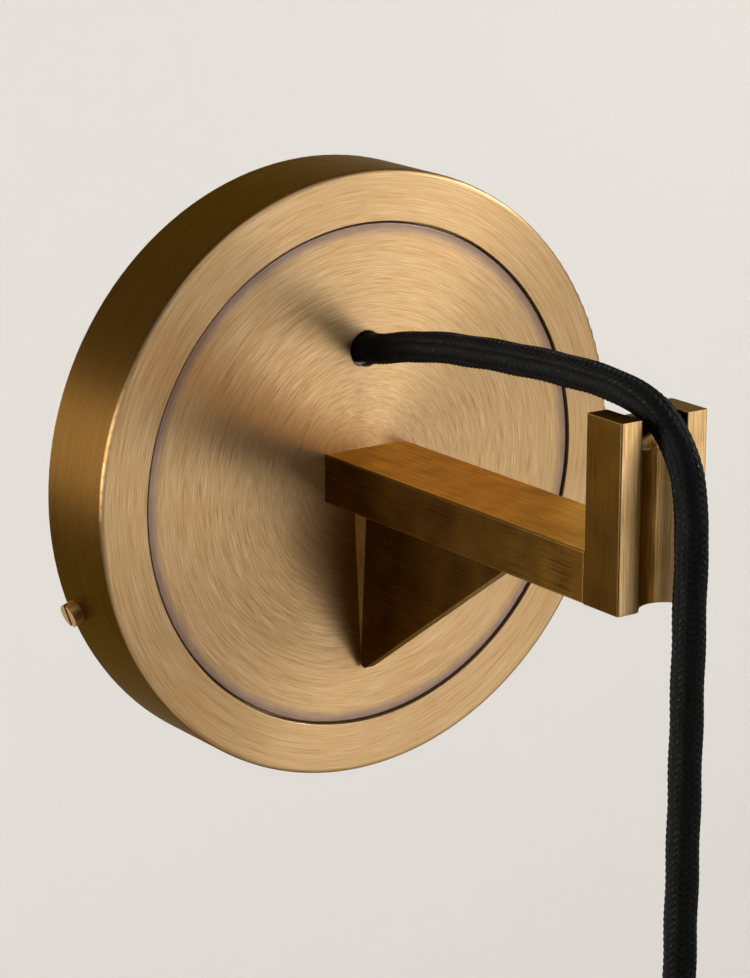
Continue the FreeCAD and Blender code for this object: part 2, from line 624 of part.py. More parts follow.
def gusset():
    """Triangular plate under the arm, with the brazing that runs down its foot on both sides."""
    wall, low = "-" + PLATE_FRONT, "-gusset_foot"
    plate = padded("gusset_plate", "YZ_Plane", [
        (wall, ARM_BOTTOM),
        (wall + " - gusset_run", ARM_BOTTOM),
        (wall, low),
    ], "gusset_thick")
    foot, front = -size("gusset_foot"), -number(PLATE_FRONT)
    plate = eased("gusset_rounded", plate, "Part::Fillet", size("gusset_tip"),
                  lambda edge: near(edge.BoundBox.ZMin, foot) and near(edge.BoundBox.ZMax, foot))
    leg, side, top = size("fillet_leg"), size("gusset_thick") / 2, number(ARM_BOTTOM)
    tip = foot + 3 * size("gusset_tip")
    brazing = []
    for name, sign in (("right", 1), ("left", -1)):
        corner = Vector(sign * side, front, top)
        out = Vector(sign * (side + leg), front, top)
        forward = Vector(sign * side, front - leg, top)
        end = Vector(sign * side, front, tip)
        brazing.append(shaped("brazing_" + name, wedge(corner, out, forward, end)))
    keep("gusset", joined("gusset_brazed", [plate] + brazing))


def wedge(corner, out, forward, end):
    """A solid with a three-cornered top that runs out to one point."""
    faces = [Part.Face(Part.makePolygon(list(points) + [points[0]]))
             for points in ((corner, out, forward), (corner, out, end), (out, forward, end),
                            (forward, corner, end))]
    solid = Part.makeSolid(Part.makeShell(faces))
    if solid.Volume < 0:
        solid.reverse()
    return solid


def cradle():
    """Upright block at the arm's tip: two horns, a round saddle between them and a shallow
    groove down the front for the cord."""
    base = block("cradle_bar", "bar_width", "cradle_depth", "cradle_rise - " + ARM_BOTTOM,
                 ("-bar_width / 2", "-" + CRADLE_FRONT, ARM_BOTTOM))
    groove = cylinder("groove", "groove_radius", "2 * (cradle_rise + bar_height)",
                      ("0", "-" + CRADLE_FRONT + " - groove_offset", "-cradle_rise - bar_height"))
    over = block("saddle_gap", "2 * saddle_half", "3 * cradle_depth", "cradle_rise",
                 ("-saddle_half", "-" + CRADLE_FRONT + " - cradle_depth", "saddle_rise"))
    floor = "(" + CRADLE_FRONT + " + groove_offset - groove_radius)"
    corner = block("nose_corner", "2 * saddle_half", "saddle_round + groove_radius", "saddle_round",
                   ("-saddle_half", "-" + floor + " - groove_radius",
                    "saddle_rise - saddle_round"))
    nose = cylinder("nose", "saddle_round", "4 * saddle_half",
                    ("-2 * saddle_half", "-" + floor + " + saddle_round",
                     "saddle_rise - saddle_round"), RIGHTWARD)
    corner = cut("nose_waste", corner, [nose])
    pin_hole = cylinder("cradle_pin_hole", "pin_radius + thread_gap", "pin_cradle + pin_room",
                        ("0", "-arm_reach", "arm_rise"), OUTWARD)
    base = eased("cradle_bevelled", base, "Part::Chamfer", size("plate_bevel"),
                 lambda edge: near(edge.BoundBox.XLength, 0) and near(edge.BoundBox.YLength, 0))
    lips = [shaped("lip_waste_" + name, lip_waste(side)) for name, side in (("right", 1), ("left", -1))]
    keep("cradle", cut("cradle_cut", base, [groove, over, corner, pin_hole] + lips))


def lip_waste(side):
    """What the rounding of one groove lip takes off: even at first, then running out to a nearly
    sharp edge at the top of the horn."""
    lip, sharp = size("groove_lip"), size("sharp_lip")
    low, top = number(ARM_BOTTOM) - size("tip_room"), size("cradle_rise")
    turn = top - size("lip_runout")
    straight = Part.Face(lip_outline(side, lip, low)).extrude(Vector(0, 0, turn - low))
    running_out = Part.makeLoft([lip_outline(side, lip, turn), lip_outline(side, sharp, top)], True, True)
    return straight.fuse(running_out)


def lip_outline(side, lip, height):
    """Corner between the cradle's front face and the groove, outside an arc tangent to both."""
    front, spare = -number(CRADLE_FRONT), size("slip_gap")
    groove = Vector(0, front - size("groove_offset"), height)
    reach = size("groove_radius") + lip
    middle_x = math.sqrt(reach ** 2 - (lip + size("groove_offset")) ** 2)
    middle = Vector(side * middle_x, front + lip, height)
    to_face, to_groove = Vector(0, -1, 0), unit(groove - middle)
    on_face = middle + to_face * lip
    on_groove = middle + to_groove * lip
    half_way = middle + unit(to_face + to_groove) * lip
    inside = on_groove - Vector(side * spare, 0, 0)
    outside = Vector(inside.x, front - spare, height)
    above = Vector(on_face.x, front - spare, height)
    arc = Part.Arc(on_face, half_way, on_groove).toShape()
    lines = [Part.LineSegment(a, b).toShape()
             for a, b in ((on_groove, inside), (inside, outside), (outside, above), (above, on_face))]
    return Part.Wire([arc] + lines)


# Route of the cord from its end inside the canopy to the top of the hanging stretch, as (y, z).
CORD_ROUTE = (
    (-11.0, 26.2),
    (-22.0, 26.2),
    (-39.0, 30.8),
    (-66.0, 33.6),
    (-92.0, 34.9),
    (-107.5, 33.6),
    (-117.2, 26.5),
    (-120.0, 15.0),
    (-120.0, 10.0),
)
BEND_SHARE = 0.45


def bent_path(points, label):
    """Straight runs joined by tangent arcs, each as large as its two runs allow."""
    edges, start, radii = [], points[0], []
    for before, corner, after in zip(points, points[1:], points[2:]):
        back, ahead = before - corner, after - corner
        trim = BEND_SHARE * min(back.Length, ahead.Length)
        half_turn = (math.pi - back.getAngle(ahead)) / 2
        radius = trim / math.tan(half_turn)
        enter, leave = corner + unit(back) * trim, corner + unit(ahead) * trim
        inward = unit(unit(back) + unit(ahead))
        middle = corner + inward * (radius / math.cos(half_turn) - radius)
        edges += [Part.LineSegment(start, enter).toShape(), Part.Arc(enter, middle, leave).toShape()]
        start = leave
        radii.append(round(radius, 1))
    edges.append(Part.LineSegment(start, points[-1]).toShape())
    print(label, "bend radii", radii)
    return Part.Wire(edges)


def unit(vector):
    return vector / vector.Length


def tube(points, radius, label):
    """A round tube along straight runs and arcs, checked against its section times its length."""
    path = bent_path(points, label)
    ring = Part.Wire(Part.makeCircle(radius, points[0], unit(points[1] - points[0])))
    solid = path.makePipeShell([ring], True, False)
    share = solid.Volume / (math.pi * radius ** 2 * path.Length)
    print(label, "length", round(path.Length, 1), "volume share", round(share, 4))
    assert abs(share - 1) < 0.01, label
    return solid


def cord():
    """The braided cord: over the cradle in one bent tube, then straight down to the head. Where it
    can bend, the lower stretch has a ball end and the upper one a hollow that clears it."""
    route = [Vector(0, y, z) for y, z in CORD_ROUTE]
    feed = shaped("cord_feed", tube(route, size("cord_radius"), "cord"))
    link = cylinder("cord_link", "cord_radius", "swing_height - sway_height",
                    ("0", "-drop_depth", "sway_height"))
    hang = cylinder("cord_hang", "cord_radius", "sway_height + " + HEAD_TOP + " + grip_tail + cord_tail",
                    ("0", "-drop_depth", "-" + HEAD_TOP + " - grip_tail - cord_tail"))
    link = joined("cord_link_balled", [link, ball("swing_ball", "cord_radius", "swing_height")])
    hang = joined("cord_hang_balled", [hang, ball("sway_ball", "cord_radius", "sway_height")])
    keep("cord_over_cradle", cut("cord_feed_hollow", feed, [
        ball("swing_hollow", "cord_radius + flex_gap", "swing_height")]))
    keep("cord_bend", cut("cord_link_hollow", link, [
        ball("sway_hollow", "cord_radius + flex_gap", "sway_height")]))
    keep("cord_drop", hang)


def ball(name, radius, height):
    """A ball on the axis of the hanging cord."""
    thing = doc.addObject("Part::Sphere", name)
    thing.setExpression("Radius", tied(radius))
    return place(thing, ("0", "-drop_depth", height))


def cord_stop():
    """Nylon collar that keeps the cord from being pulled out, and its grub screw."""
    at = ("0", "-" + PLATE_BACK, "cord_height")
    collar = cylinder("stop_collar", "stop_radius", "stop_length", at, INWARD)
    bore = cylinder("stop_bore", "cord_radius + stop_gap", "3 * stop_length",
                    ("0", "-" + PLATE_BACK + " - stop_length", "cord_height"), INWARD)
    middle = "-" + PLATE_BACK + " + stop_length / 2"
    tap = cylinder("stop_tap", "grub_radius + thread_gap", "2 * stop_radius",
                   ("0", middle, "cord_height"), UPWARD)
    keep("cord_stop", cut("stop_bored", collar, [bore, tap]))
    keep("cord_stop_screw", grub("stop_grub", "stop_radius - cord_radius - stop_gap",
                                 ("0", middle, "cord_height + cord_radius + stop_gap"), UPWARD))


def grub(name, length, at, turn):
    """A headless screw that grows along the turn's axis, with a slot in its outer end."""
    shank = cylinder(name + "_shank", "grub_radius", length, ("0", "0", "0"))
    slot = block(name + "_slot", "4 * grub_radius", "slot_width", "2 * slot_depth",
                 ("-2 * grub_radius", "-slot_width / 2", length + " - slot_depth"))
    return place(cut(name, shank, [slot]), at, turn)


def cores():
    """The three insulated cores, side by side in the cord: the outer two run down to the terminal
    block, the upper one across to the earth lug. Each point beyond the first two is one of the
    bends that carry it there."""
    start = -size("sheath_end")
    straight = start + size("core_straight")
    radius, apart = size("core_radius"), size("core_spread")
    low = size("cord_height") - apart / math.sqrt(3)
    high = size("cord_height") + 2 * apart / math.sqrt(3)
    pole, axis = size("pole_pitch") / 2, -size("block_axis")
    end = -size("block_top") - size("block_height") / 2 + size("tip_room")
    for name, side in (("neutral_core", 1), ("live_core", -1)):
        points = [Vector(side * apart, start, low),
                  Vector(side * apart, straight, low),
                  Vector(side * size("pole_bend_side"), -size("pole_bend_depth"), size("pole_bend_height")),
                  Vector(side * pole, axis, -size("pole_bend_low")),
                  Vector(side * pole, axis, end)]
        keep(name, shaped(name + "_tube", tube(points, radius, name)))
    tilt = math.radians(size("strap_tilt"))
    lug_x, lug_z = size("earth_offset") * math.cos(tilt), size("earth_offset") * math.sin(tilt)
    lug_y = -size("strap_thick") - size("lug_barrel")
    crimp = lug_z + size("lug_radius") + 3 * size("lug_thick") + size("slip_gap")
    points = [Vector(0, start, high),
              Vector(0, straight, high),
              Vector(size("lug_bend_side"), -size("lug_bend_depth"), size("lug_bend_height")),
              Vector(lug_x, lug_y, size("lug_bend_low")),
              Vector(lug_x, lug_y, crimp)]
    keep("earth_core", shaped("earth_core_tube", tube(points, radius, "earth_core")))


def head_grip():
    """Brass cord grip on top of the head, its grub screw and the nut inside the cap."""
    body = revolved("grip_body", "XZ_Plane", [
        ("cord_radius + grip_gap", "-head_drop"),
        ("grip_radius", "-head_drop"),
        ("grip_radius", "-" + HEAD_TOP),
        ("grip_tail_radius", "-" + HEAD_TOP),
        ("grip_tail_radius", "-" + HEAD_TOP + " - grip_tail"),
        ("cord_radius + grip_gap", "-" + HEAD_TOP + " - grip_tail"),
    ], "V_Axis", HEAD_AXIS)
    level = "-head_drop - grip_length / 2"
    tap = cylinder("grip_tap", "grub_radius + thread_gap", "2 * grip_radius",
                   ("0", "-drop_depth", level), OUTWARD)
    keep("head_cord_grip", cut("grip_tapped", body, [tap]))
    keep("head_grip_screw", grub("grip_grub", "grip_radius - cord_radius - grip_gap",
                                 ("0", "-drop_depth - cord_radius - grip_gap", level), OUTWARD))
    nut = hexagon("grip_nut_blank", "grip_nut_radius", "grip_nut_height",
                  ("0", "-drop_depth", "-" + HEAD_TOP + " - cap_thick"), DOWNWARD)
    thread = cylinder("grip_nut_thread", "grip_tail_radius + thread_gap", "3 * grip_nut_height",
                      ("0", "-drop_depth", "-" + HEAD_TOP + " - cap_thick + grip_nut_height"), DOWNWARD)
    keep("head_grip_nut", cut("grip_nut", nut, [thread]))


def round_the_head(name, radius, length, reach, level):
    """Three radial cylinders round the head's axis, each starting at the given reach."""
    things = []
    for k in range(3):
        angle = 120 * k + 90
        outward = Vector(math.cos(math.radians(angle)), math.sin(math.radians(angle)), 0)
        place_text = (f"({reach}) * cos({angle})", f"-drop_depth + ({reach}) * sin({angle})", level)
        things.append(cylinder(f"{name}_{k}", radius, length, place_text,
                               Rotation(Vector(0, 0, 1), outward)))
    return things


def head_shell():
    """Cap with its spigot and two posts, the shade tube, and the three screws that join them."""
    under = HEAD_TOP + " - cap_thick"
    cap = revolved("cap_body", "XZ_Plane", [
        ("grip_tail_radius + thread_gap", "-" + HEAD_TOP),
        (HEAD_RADIUS, "-" + HEAD_TOP),
        (HEAD_RADIUS, "-" + under),
        (SPIGOT_RADIUS, "-" + under),
        (SPIGOT_RADIUS, "-" + under + " - spigot_length"),
        (SPIGOT_RADIUS + " - spigot_wall", "-" + under + " - spigot_length"),
        (SPIGOT_RADIUS + " - spigot_wall", "-" + under),
        ("grip_tail_radius + thread_gap", "-" + under),
    ], "V_Axis", HEAD_AXIS)
    posts, post_taps = [], []
    for side, sign in (("right", "1"), ("left", "-1")):
        x = sign + " * post_offset"
        posts.append(cylinder("post_" + side, "post_radius", "post_length",
                              (x, "-drop_depth", "-" + POST_END)))
        post_taps.append(cylinder("post_tap_" + side, "holder_screw + thread_gap",
                                  "2 * holder_screw_reach + tip_room",
                                  (x, "-drop_depth", "-" + POST_END + " - holder_screw_reach")))
    level = "-" + under + " - shade_screw_drop"
    taps = round_the_head("cap_tap", "grub_radius + thread_gap", "2 * spigot_wall + 2 * shade_wall",
                          SPIGOT_RADIUS + " - 2 * spigot_wall", level)
    keep("head_cap", cut("cap", joined("cap_blank", [cap] + posts), post_taps + taps))
    shade = revolved("shade_body", "XZ_Plane", [
        (SHADE_BORE, "-" + under),
        (HEAD_RADIUS, "-" + under),
        (HEAD_RADIUS, "-" + under + " - shade_length"),
        (SHADE_BORE, "-" + under + " - shade_length"),
    ], "V_Axis", HEAD_AXIS)
    holes = round_the_head("shade_hole", "grub_radius + thread_gap", "4 * shade_wall",
                           SHADE_BORE + " - shade_wall", level)
    keep("shade", cut("shade_drilled", shade, holes))
    keep("shade_screws", together("shade_grubs", round_the_head(
        "shade_grub", "grub_radius", "spigot_wall + shade_fit + shade_wall - 2 * grub_sink",
        SPIGOT_RADIUS + " - spigot_wall + grub_sink", level)))


def lampholder():
    """Ceramic lampholder under the cap's posts, its two screws and the two cores that feed it."""
    puck = cylinder("holder_puck", "holder_radius", "holder_height",
                    ("0", "-drop_depth", "-" + NECK_TOP))
    bores, screws = [], []
    for side, sign in (("right", "1"), ("left", "-1")):
        x = sign + " * post_offset"
        bores.append(cylinder("holder_bore_" + side, "holder_screw + slip_gap", "3 * holder_height",
                              (x, "-drop_depth", "-" + NECK_TOP + " - holder_height")))
        bores.append(cylinder("holder_sink_" + side, "2 * holder_screw", "2 * holder_sink",
                              (x, "-drop_depth", "-" + NECK_TOP + " - holder_sink")))
        bores.append(cylinder("holder_wire_" + side, "core_radius + slip_gap", "holder_height",
                              (sign + " * contact_offset", "-drop_depth",
                               "-" + POST_END + " - holder_height / 2")))
        bores.append(cylinder("holder_contact_" + side, "contact_radius + slip_gap",
                              "2 * contact_length + tip_room",
                              ("0", "-drop_depth + " + sign + " * contact_offset",
                               "-" + NECK_TOP + " - contact_length")))
        screws.append(slotted_screw("holder_screw_" + side,
                                    (x, "-drop_depth", "-" + NECK_TOP + " + holder_sink"), UPWARD,
                                    "holder_screw",
                                    "(holder_height - holder_sink + holder_screw_reach)",
                                    "(2 * holder_screw - slip_gap)", "holder_head"))
    keep("lampholder", cut("holder", puck, bores))
    keep("lampholder_screws", together("holder_screws", screws))
    axis = -size("drop_depth")
    top = -number(HEAD_TOP) - size("grip_tail") - size("cord_tail")
    near_x, far_x = size("core_spread"), size("contact_offset")
    end = -number(POST_END) - size("holder_height") / 4
    straight, spread = top - size("tail_straight"), top - size("tail_spread")
    tubes = [tube([Vector(side * near_x, axis, top), Vector(side * near_x, axis, straight),
                   Vector(side * far_x, axis, spread), Vector(side * far_x, axis, end)],
                  size("core_radius"), "head core") for side in (1, -1)]
    keep("head_cores", shaped("head_core_tubes", Part.makeCompound(tubes)))


def lamp():
    """Reflector lamp: two pins, a body that widens to its rim, a lens, and the shade's ring."""
    keep("lamp_pins", together("lamp_pin_pair", [
        cylinder("lamp_pin_" + side, "contact_radius", "contact_length",
                 ("0", "-drop_depth + " + sign + " * contact_offset", "-" + NECK_TOP))
        for side, sign in (("back", "1"), ("front", "-1"))]))
    recess = "(lens_thick + lens_inset)"
    keep("lamp_body", revolved("lamp_shell", "XZ_Plane", [
        ("0", "-" + NECK_TOP),
        ("lamp_neck", "-" + NECK_TOP),
        ("lamp_neck", "-" + NECK_TOP + " - neck_length"),
        ("lamp_radius", "-" + RIM_BOTTOM + " + rim_length"),
        ("lamp_radius", "-" + RIM_BOTTOM),
        (LENS_RADIUS + " + face_gap", "-" + RIM_BOTTOM),
        (LENS_RADIUS + " + face_gap", "-" + RIM_BOTTOM + " + " + recess),
        ("0", "-" + RIM_BOTTOM + " + " + recess),
    ], "V_Axis", HEAD_AXIS))
    keep("lamp_lens", cylinder("lens_disc", LENS_RADIUS, "lens_thick",
                               ("0", "-drop_depth", "-" + RIM_BOTTOM + " + lens_inset")))
    keep("shade_ring", revolved("face_ring", "XZ_Plane", [
        ("lamp_radius - face_ring_lap", "-" + RIM_BOTTOM + " - face_gap"),
        (SPIGOT_RADIUS, "-" + RIM_BOTTOM + " - face_gap"),
        (SPIGOT_RADIUS, "-" + RIM_BOTTOM + " - face_gap - face_ring_length"),
        ("lamp_radius - face_ring_lap", "-" + RIM_BOTTOM + " - face_gap - face_ring_length"),
    ], "V_Axis", HEAD_AXIS))


def check_and_write():
    """Every object computed, every sub-part a valid shape, then one file for each sub-part."""
    doc.recompute()
    failed = [thing.Name for thing in doc.Objects
              if any(state in ("Invalid", "Error") for state in thing.State)]
    assert not failed, failed
    for thing in nodes:
        shape = thing.Shape
        assert not shape.isNull() and shape.isValid() and shape.Volume > 0, thing.Label
    os.makedirs("parts", exist_ok=True)
    for thing in nodes:
        thing.Shape.exportStep(f"parts/{thing.Label}.step")
        box = thing.Shape.BoundBox
        print(thing.Label, len(thing.Shape.Solids), "solids", round(thing.Shape.Volume, 1), "mm3",
              [round(v, 1) for v in (box.XMin, box.YMin, box.ZMin, box.XMax, box.YMax, box.ZMax)])


canopy_shell()
face_plate()
plate_fasteners()
wall_bracket()
bracket_fasteners()
terminal_block()
arm()
arm_fasteners()
gusset()
cradle()
cord()
cord_stop()
cores()
head_grip()
head_shell()
lampholder()
lamp()
check_and_write()
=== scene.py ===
import json
import math

import bpy
from mathutils import Matrix, Vector


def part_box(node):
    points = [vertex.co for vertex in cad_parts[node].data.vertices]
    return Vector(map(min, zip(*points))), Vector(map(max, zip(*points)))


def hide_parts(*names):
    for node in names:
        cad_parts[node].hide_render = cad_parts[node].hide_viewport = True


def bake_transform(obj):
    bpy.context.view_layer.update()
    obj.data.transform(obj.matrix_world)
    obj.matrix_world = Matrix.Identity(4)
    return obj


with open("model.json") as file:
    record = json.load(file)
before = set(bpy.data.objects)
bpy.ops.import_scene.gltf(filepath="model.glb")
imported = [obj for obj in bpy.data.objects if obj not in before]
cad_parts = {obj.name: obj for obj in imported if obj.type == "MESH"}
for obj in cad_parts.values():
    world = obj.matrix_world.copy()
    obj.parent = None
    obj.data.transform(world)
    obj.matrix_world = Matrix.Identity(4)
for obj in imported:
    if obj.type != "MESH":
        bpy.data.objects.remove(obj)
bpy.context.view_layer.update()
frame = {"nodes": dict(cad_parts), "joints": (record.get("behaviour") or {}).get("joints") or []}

# ---------------------------------------------------------------- camera
# A long lens in front of the lamp, to its left and a little above it, turned towards the wall.
# The object sits above the middle of the picture, so the lens is shifted down by a tenth.
camera_place = Vector((-0.3856, -0.5638, 0.1811))
camera_yaw, camera_pitch, camera_roll = math.radians(-35.47), math.radians(13.78), math.radians(0.32)
lens_mm, sensor_mm, shift_down = 125.87, 36.0, -0.1002

toward_camera = Vector((math.sin(camera_yaw) * math.cos(camera_pitch),
                        -math.cos(camera_yaw) * math.cos(camera_pitch), math.sin(camera_pitch)))
level_right = (-toward_camera).cross(Vector((0, 0, 1))).normalized()
level_up = level_right.cross(-toward_camera)
camera_right = level_right * math.cos(camera_roll) + level_up * math.sin(camera_roll)
camera_up = level_up * math.cos(camera_roll) - level_right * math.sin(camera_roll)
camera = bpy.data.objects.new("camera", bpy.data.cameras.new("camera"))
bpy.context.scene.collection.objects.link(camera)
camera.data.sensor_width = sensor_mm
camera.data.lens = lens_mm
camera.data.shift_y = shift_down
camera.data.clip_start = 0.01
camera.data.clip_end = 20.0
camera.matrix_world = (Matrix.Translation(camera_place)
                       @ Matrix((camera_right, camera_up, toward_camera)).transposed().to_4x4())
bpy.context.scene.camera = camera


# ---------------------------------------------------------------- wall and floor
# A pale matt plaster wall behind the lamp and a pale floor far below it. They only carry the
# light, the soft shadow and the pale background.
def from_hex(text):
    """An sRGB hex colour as linear RGBA."""
    parts = [int(text[k:k + 2], 16) / 255 for k in (1, 3, 5)]
    linear = [c / 12.92 if c <= 0.04045 else ((c + 0.055) / 1.055) ** 2.4 for c in parts]
    return linear + [1.0]


def new_material(name):
    """A material with nothing in it yet."""
    material = bpy.data.materials.new(name)
    material.use_nodes = True
    material.node_tree.nodes.clear()
    return material


def add(material, kind, inputs={}, **settings):
    """Adds a shader node. Inputs are numbers, colours or sockets to link; settings are its own."""
    node = material.node_tree.nodes.new(kind)
    for name, value in settings.items():
        setattr(node, name, value)
    for name, value in inputs.items():
        if isinstance(value, bpy.types.NodeSocket):
            material.node_tree.links.new(value, node.inputs[name])
        else:
            node.inputs[name].default_value = value
    return node


def finished(material, shader):
    """Closes a material with its shader."""
    add(material, "ShaderNodeOutputMaterial", {"Surface": shader.outputs[0]})
    return material


def stage_plane(name, corners, material):
    """A flat stage piece, which isn't part of the object."""
    mesh = bpy.data.meshes.new(name)
    mesh.from_pydata(corners, [], [(0, 1, 2, 3)])
    plane = bpy.data.objects.new(name, mesh)
    bpy.context.scene.collection.objects.link(plane)
    mesh.materials.append(material)


# Both are clear from their back, so that the lamp can be seen from behind and from below.
plaster = new_material("matt_plaster_pale")
plaster_front = add(plaster, "ShaderNodeBsdfDiffuse", {"Color": from_hex("#D8D5D0"), "Roughness": 1.0})
plaster_back = add(plaster, "ShaderNodeBsdfTransparent")
plaster_side = add(plaster, "ShaderNodeNewGeometry").outputs["Backfacing"]
finished(plaster, add(plaster, "ShaderNodeMixShader", {
    0: plaster_side, 1: plaster_front.outputs[0], 2: plaster_back.outputs[0]}))
# The backdrop stands 0.3 m behind the lamp, so that the lamp's open back gets light.
wall_gap, room, floor_drop = 0.30, 3.0, 0.65
stage_plane("backdrop", [(-room, wall_gap, -floor_drop), (room, wall_gap, -floor_drop),
                         (room, wall_gap, room), (-room, wall_gap, room)], plaster)
stage_plane("floor", [(-room, -room, -floor_drop), (room, -room, -floor_drop),
                      (room, room, -floor_drop), (-room, room, -floor_drop)], plaster)


# ---------------------------------------------------------------- light
# Soft boxes: two in front on the right and one overhead light the brushed faces. A small one at
# the right edge and two on the left draw the flanks and the canopy's side wall. Between them the
# room stays even and dim, so that the brushed metal keeps its darks.
def soft_box(name, place, width, height, watts, aim=(0, 0, 0)):
    """A rectangular lamp turned towards aim, which the camera doesn't see."""
    lamp = bpy.data.lights.new(name, "AREA")
    lamp.shape = "RECTANGLE"
    lamp.size, lamp.size_y = width, height
    lamp.energy = watts
    box = bpy.data.objects.new(name, lamp)
    bpy.context.scene.collection.objects.link(box)
    box.location = place
    box.rotation_euler = (Vector(aim) - Vector(place)).to_track_quat("-Z", "Y").to_euler()
    box.visible_camera = False


soft_box("key", (0.44, -1.00, -0.15), 0.45, 0.45, 2.7)
soft_box("right", (0.80, -0.74, 0.30), 0.5, 0.5, 3.8)
soft_box("right_edge", (0.62, -0.16, 0.30), 0.12, 0.12, 2.4, aim=(0, -0.11, 0.02))
soft_box("overhead", (-0.1, -0.7, 1.1), 0.9, 0.9, 4.4)
soft_box("left", (-1.05, -0.50, 0.10), 0.3, 0.4, 3)
soft_box("left_edge", (-0.76, 0.24, 0.06), 0.3, 0.4, 16)

world = bpy.data.worlds.new("even dim room")
world.use_nodes = True
bpy.context.scene.world = world
room_light = world.node_tree.nodes["Background"].inputs
room_light["Color"].default_value = (0.55, 0.55, 0.56, 1)
room_light["Strength"].default_value = 0.55
bpy.context.scene.view_settings.view_transform = "Standard"


# ---------------------------------------------------------------- wall bracket and its fasteners
# The strap that is screwed to the wall, bent from 2 mm steel sheet, with the screws, washers and
# nuts behind the canopy. Bright zinc plating: cool grey, with faint cloudy patches from the bath.
def dress(material, *names):
    """Gives CAD pieces their finish."""
    for name in names:
        pieces = frame["nodes"][name].data.materials
        pieces.clear()
        pieces.append(material)


zinc = new_material("zinc_plated_steel")
zinc_place = add(zinc, "ShaderNodeTexCoord").outputs["Object"]
# Patches of the plating, about 2 mm across: the scale of a noise is a count to the metre.
zinc_cloud = add(zinc, "ShaderNodeTexNoise", {"Vector": zinc_place, "Scale": 500, "Detail": 4})
zinc_tone = add(zinc, "ShaderNodeMixRGB", {"Fac": zinc_cloud.outputs[0],
                                           "Color1": from_hex("#A3A8AC"),
                                           "Color2": from_hex("#D3D6D6")})
zinc_gloss = add(zinc, "ShaderNodeMapRange", {"Value": zinc_cloud.outputs[0],
                                              "To Min": 0.5, "To Max": 0.25})
finished(zinc, add(zinc, "ShaderNodeBsdfPrincipled", {
    "Base Color": zinc_tone.outputs[0], "Metallic": 1.0, "Roughness": zinc_gloss.outputs[0]}))
dress(zinc, "wall_bracket", "face_plate_washers", "face_plate_nuts", "arm_screws", "arm_washers",
      "cradle_stud", "cord_stop_screw", "terminal_clamp_screws", "terminal_block_screw",
      "lampholder_screws", "lamp_pins")

# ---------------------------------------------------------------- terminal block and cord stop
# The block that joins the cord to the supply, and the stop that holds the cord behind the face
# plate. Both are injection moulded nylon: warm white, half matt, faintly see-through at thin walls.
nylon = new_material("moulded_nylon_white")
nylon_place = add(nylon, "ShaderNodeTexCoord").outputs["Object"]
# The mould's fine spark-eroded skin, grain of 0.2 mm and 0.03 mm deep.
grain_depth = 0.00003
nylon_grain = add(nylon, "ShaderNodeTexNoise", {"Vector": nylon_place, "Scale": 5000, "Detail": 2})
nylon_skin = add(nylon, "ShaderNodeBump", {"Height": nylon_grain.outputs[0], "Strength": 0.15,
                                           "Distance": grain_depth})
nylon_tone = add(nylon, "ShaderNodeMixRGB", {"Fac": nylon_grain.outputs[0],
                                             "Color1": from_hex("#DCD7CB"),
                                             "Color2": from_hex("#EFEBE2")})
finished(nylon, add(nylon, "ShaderNodeBsdfPrincipled", {
    "Base Color": nylon_tone.outputs[0], "Roughness": 0.42, "IOR": 1.53,
    "Subsurface Weight": 0.15, "Subsurface Scale": 0.001, "Normal": nylon_skin.outputs[0]}))
dress(nylon, "terminal_block", "cord_stop")

# ---------------------------------------------------------------- earth lug
# A ring lug for the earth core, clamped under the earth screw on the bracket. It is stamped from
# brass strip and tinned: soft silver with a trace of yellow.
tin = new_material("tinned_brass_strip")
tin_place = add(tin, "ShaderNodeTexCoord").outputs["Object"]
# Marks of wiping the hot tin, about 1 mm across.
tin_wipe = add(tin, "ShaderNodeTexNoise", {"Vector": tin_place, "Scale": 900, "Detail": 3})
tin_tone = add(tin, "ShaderNodeMixRGB", {"Fac": tin_wipe.outputs[0],
                                         "Color1": from_hex("#B9B5A6"),
                                         "Color2": from_hex("#DEDACB")})
finished(tin, add(tin, "ShaderNodeBsdfPrincipled", {
    "Base Color": tin_tone.outputs[0], "Metallic": 1.0, "Roughness": 0.38}))
dress(tin, "earth_lug")


# ---------------------------------------------------------------- cores of the cord
# The three insulated wires inside the cord: extruded PVC, slightly waxy, in blue, brown and
# green with yellow. The two short leads of the lampholder are heat-proof silicone, chalky white.
def insulation(name, dull, clear, roughness, stripe=None):
    """Extruded insulation: drawing marks of 0.3 mm, and a slanting stripe about every 6 mm if it
    has one."""
    sheath = new_material(name)
    place = add(sheath, "ShaderNodeTexCoord").outputs["Object"]
    marks = add(sheath, "ShaderNodeTexNoise", {"Vector": place, "Scale": 3300, "Detail": 2})
    tone = add(sheath, "ShaderNodeMixRGB", {"Fac": marks.outputs[0], "Color1": from_hex(dull),
                                            "Color2": from_hex(clear)})
    if stripe:
        turns = add(sheath, "ShaderNodeTexWave", {"Vector": place, "Scale": 100},
                    bands_direction="DIAGONAL")
        edge = add(sheath, "ShaderNodeMapRange", {"Value": turns.outputs[1], "From Min": 0.6,
                                                  "From Max": 0.65})
        tone = add(sheath, "ShaderNodeMixRGB", {"Fac": edge.outputs[0], "Color1": tone.outputs[0],
                                                "Color2": from_hex(stripe)})
    return finished(sheath, add(sheath, "ShaderNodeBsdfPrincipled", {
        "Base Color": tone.outputs[0], "Roughness": roughness, "IOR": 1.5}))


waxy, chalky = 0.38, 0.6
dress(insulation("blue_pvc_insulation", "#1B3C8C", "#2A52AE", waxy), "neutral_core")
dress(insulation("brown_pvc_insulation", "#4A2A18", "#643C24", waxy), "live_core")
dress(insulation("green_and_yellow_pvc_insulation", "#2E7A33", "#3E9440", waxy, stripe="#E3CF2E"),
      "earth_core")
dress(insulation("white_silicone_insulation", "#D8D4CA", "#E8E5DD", chalky), "head_cores")


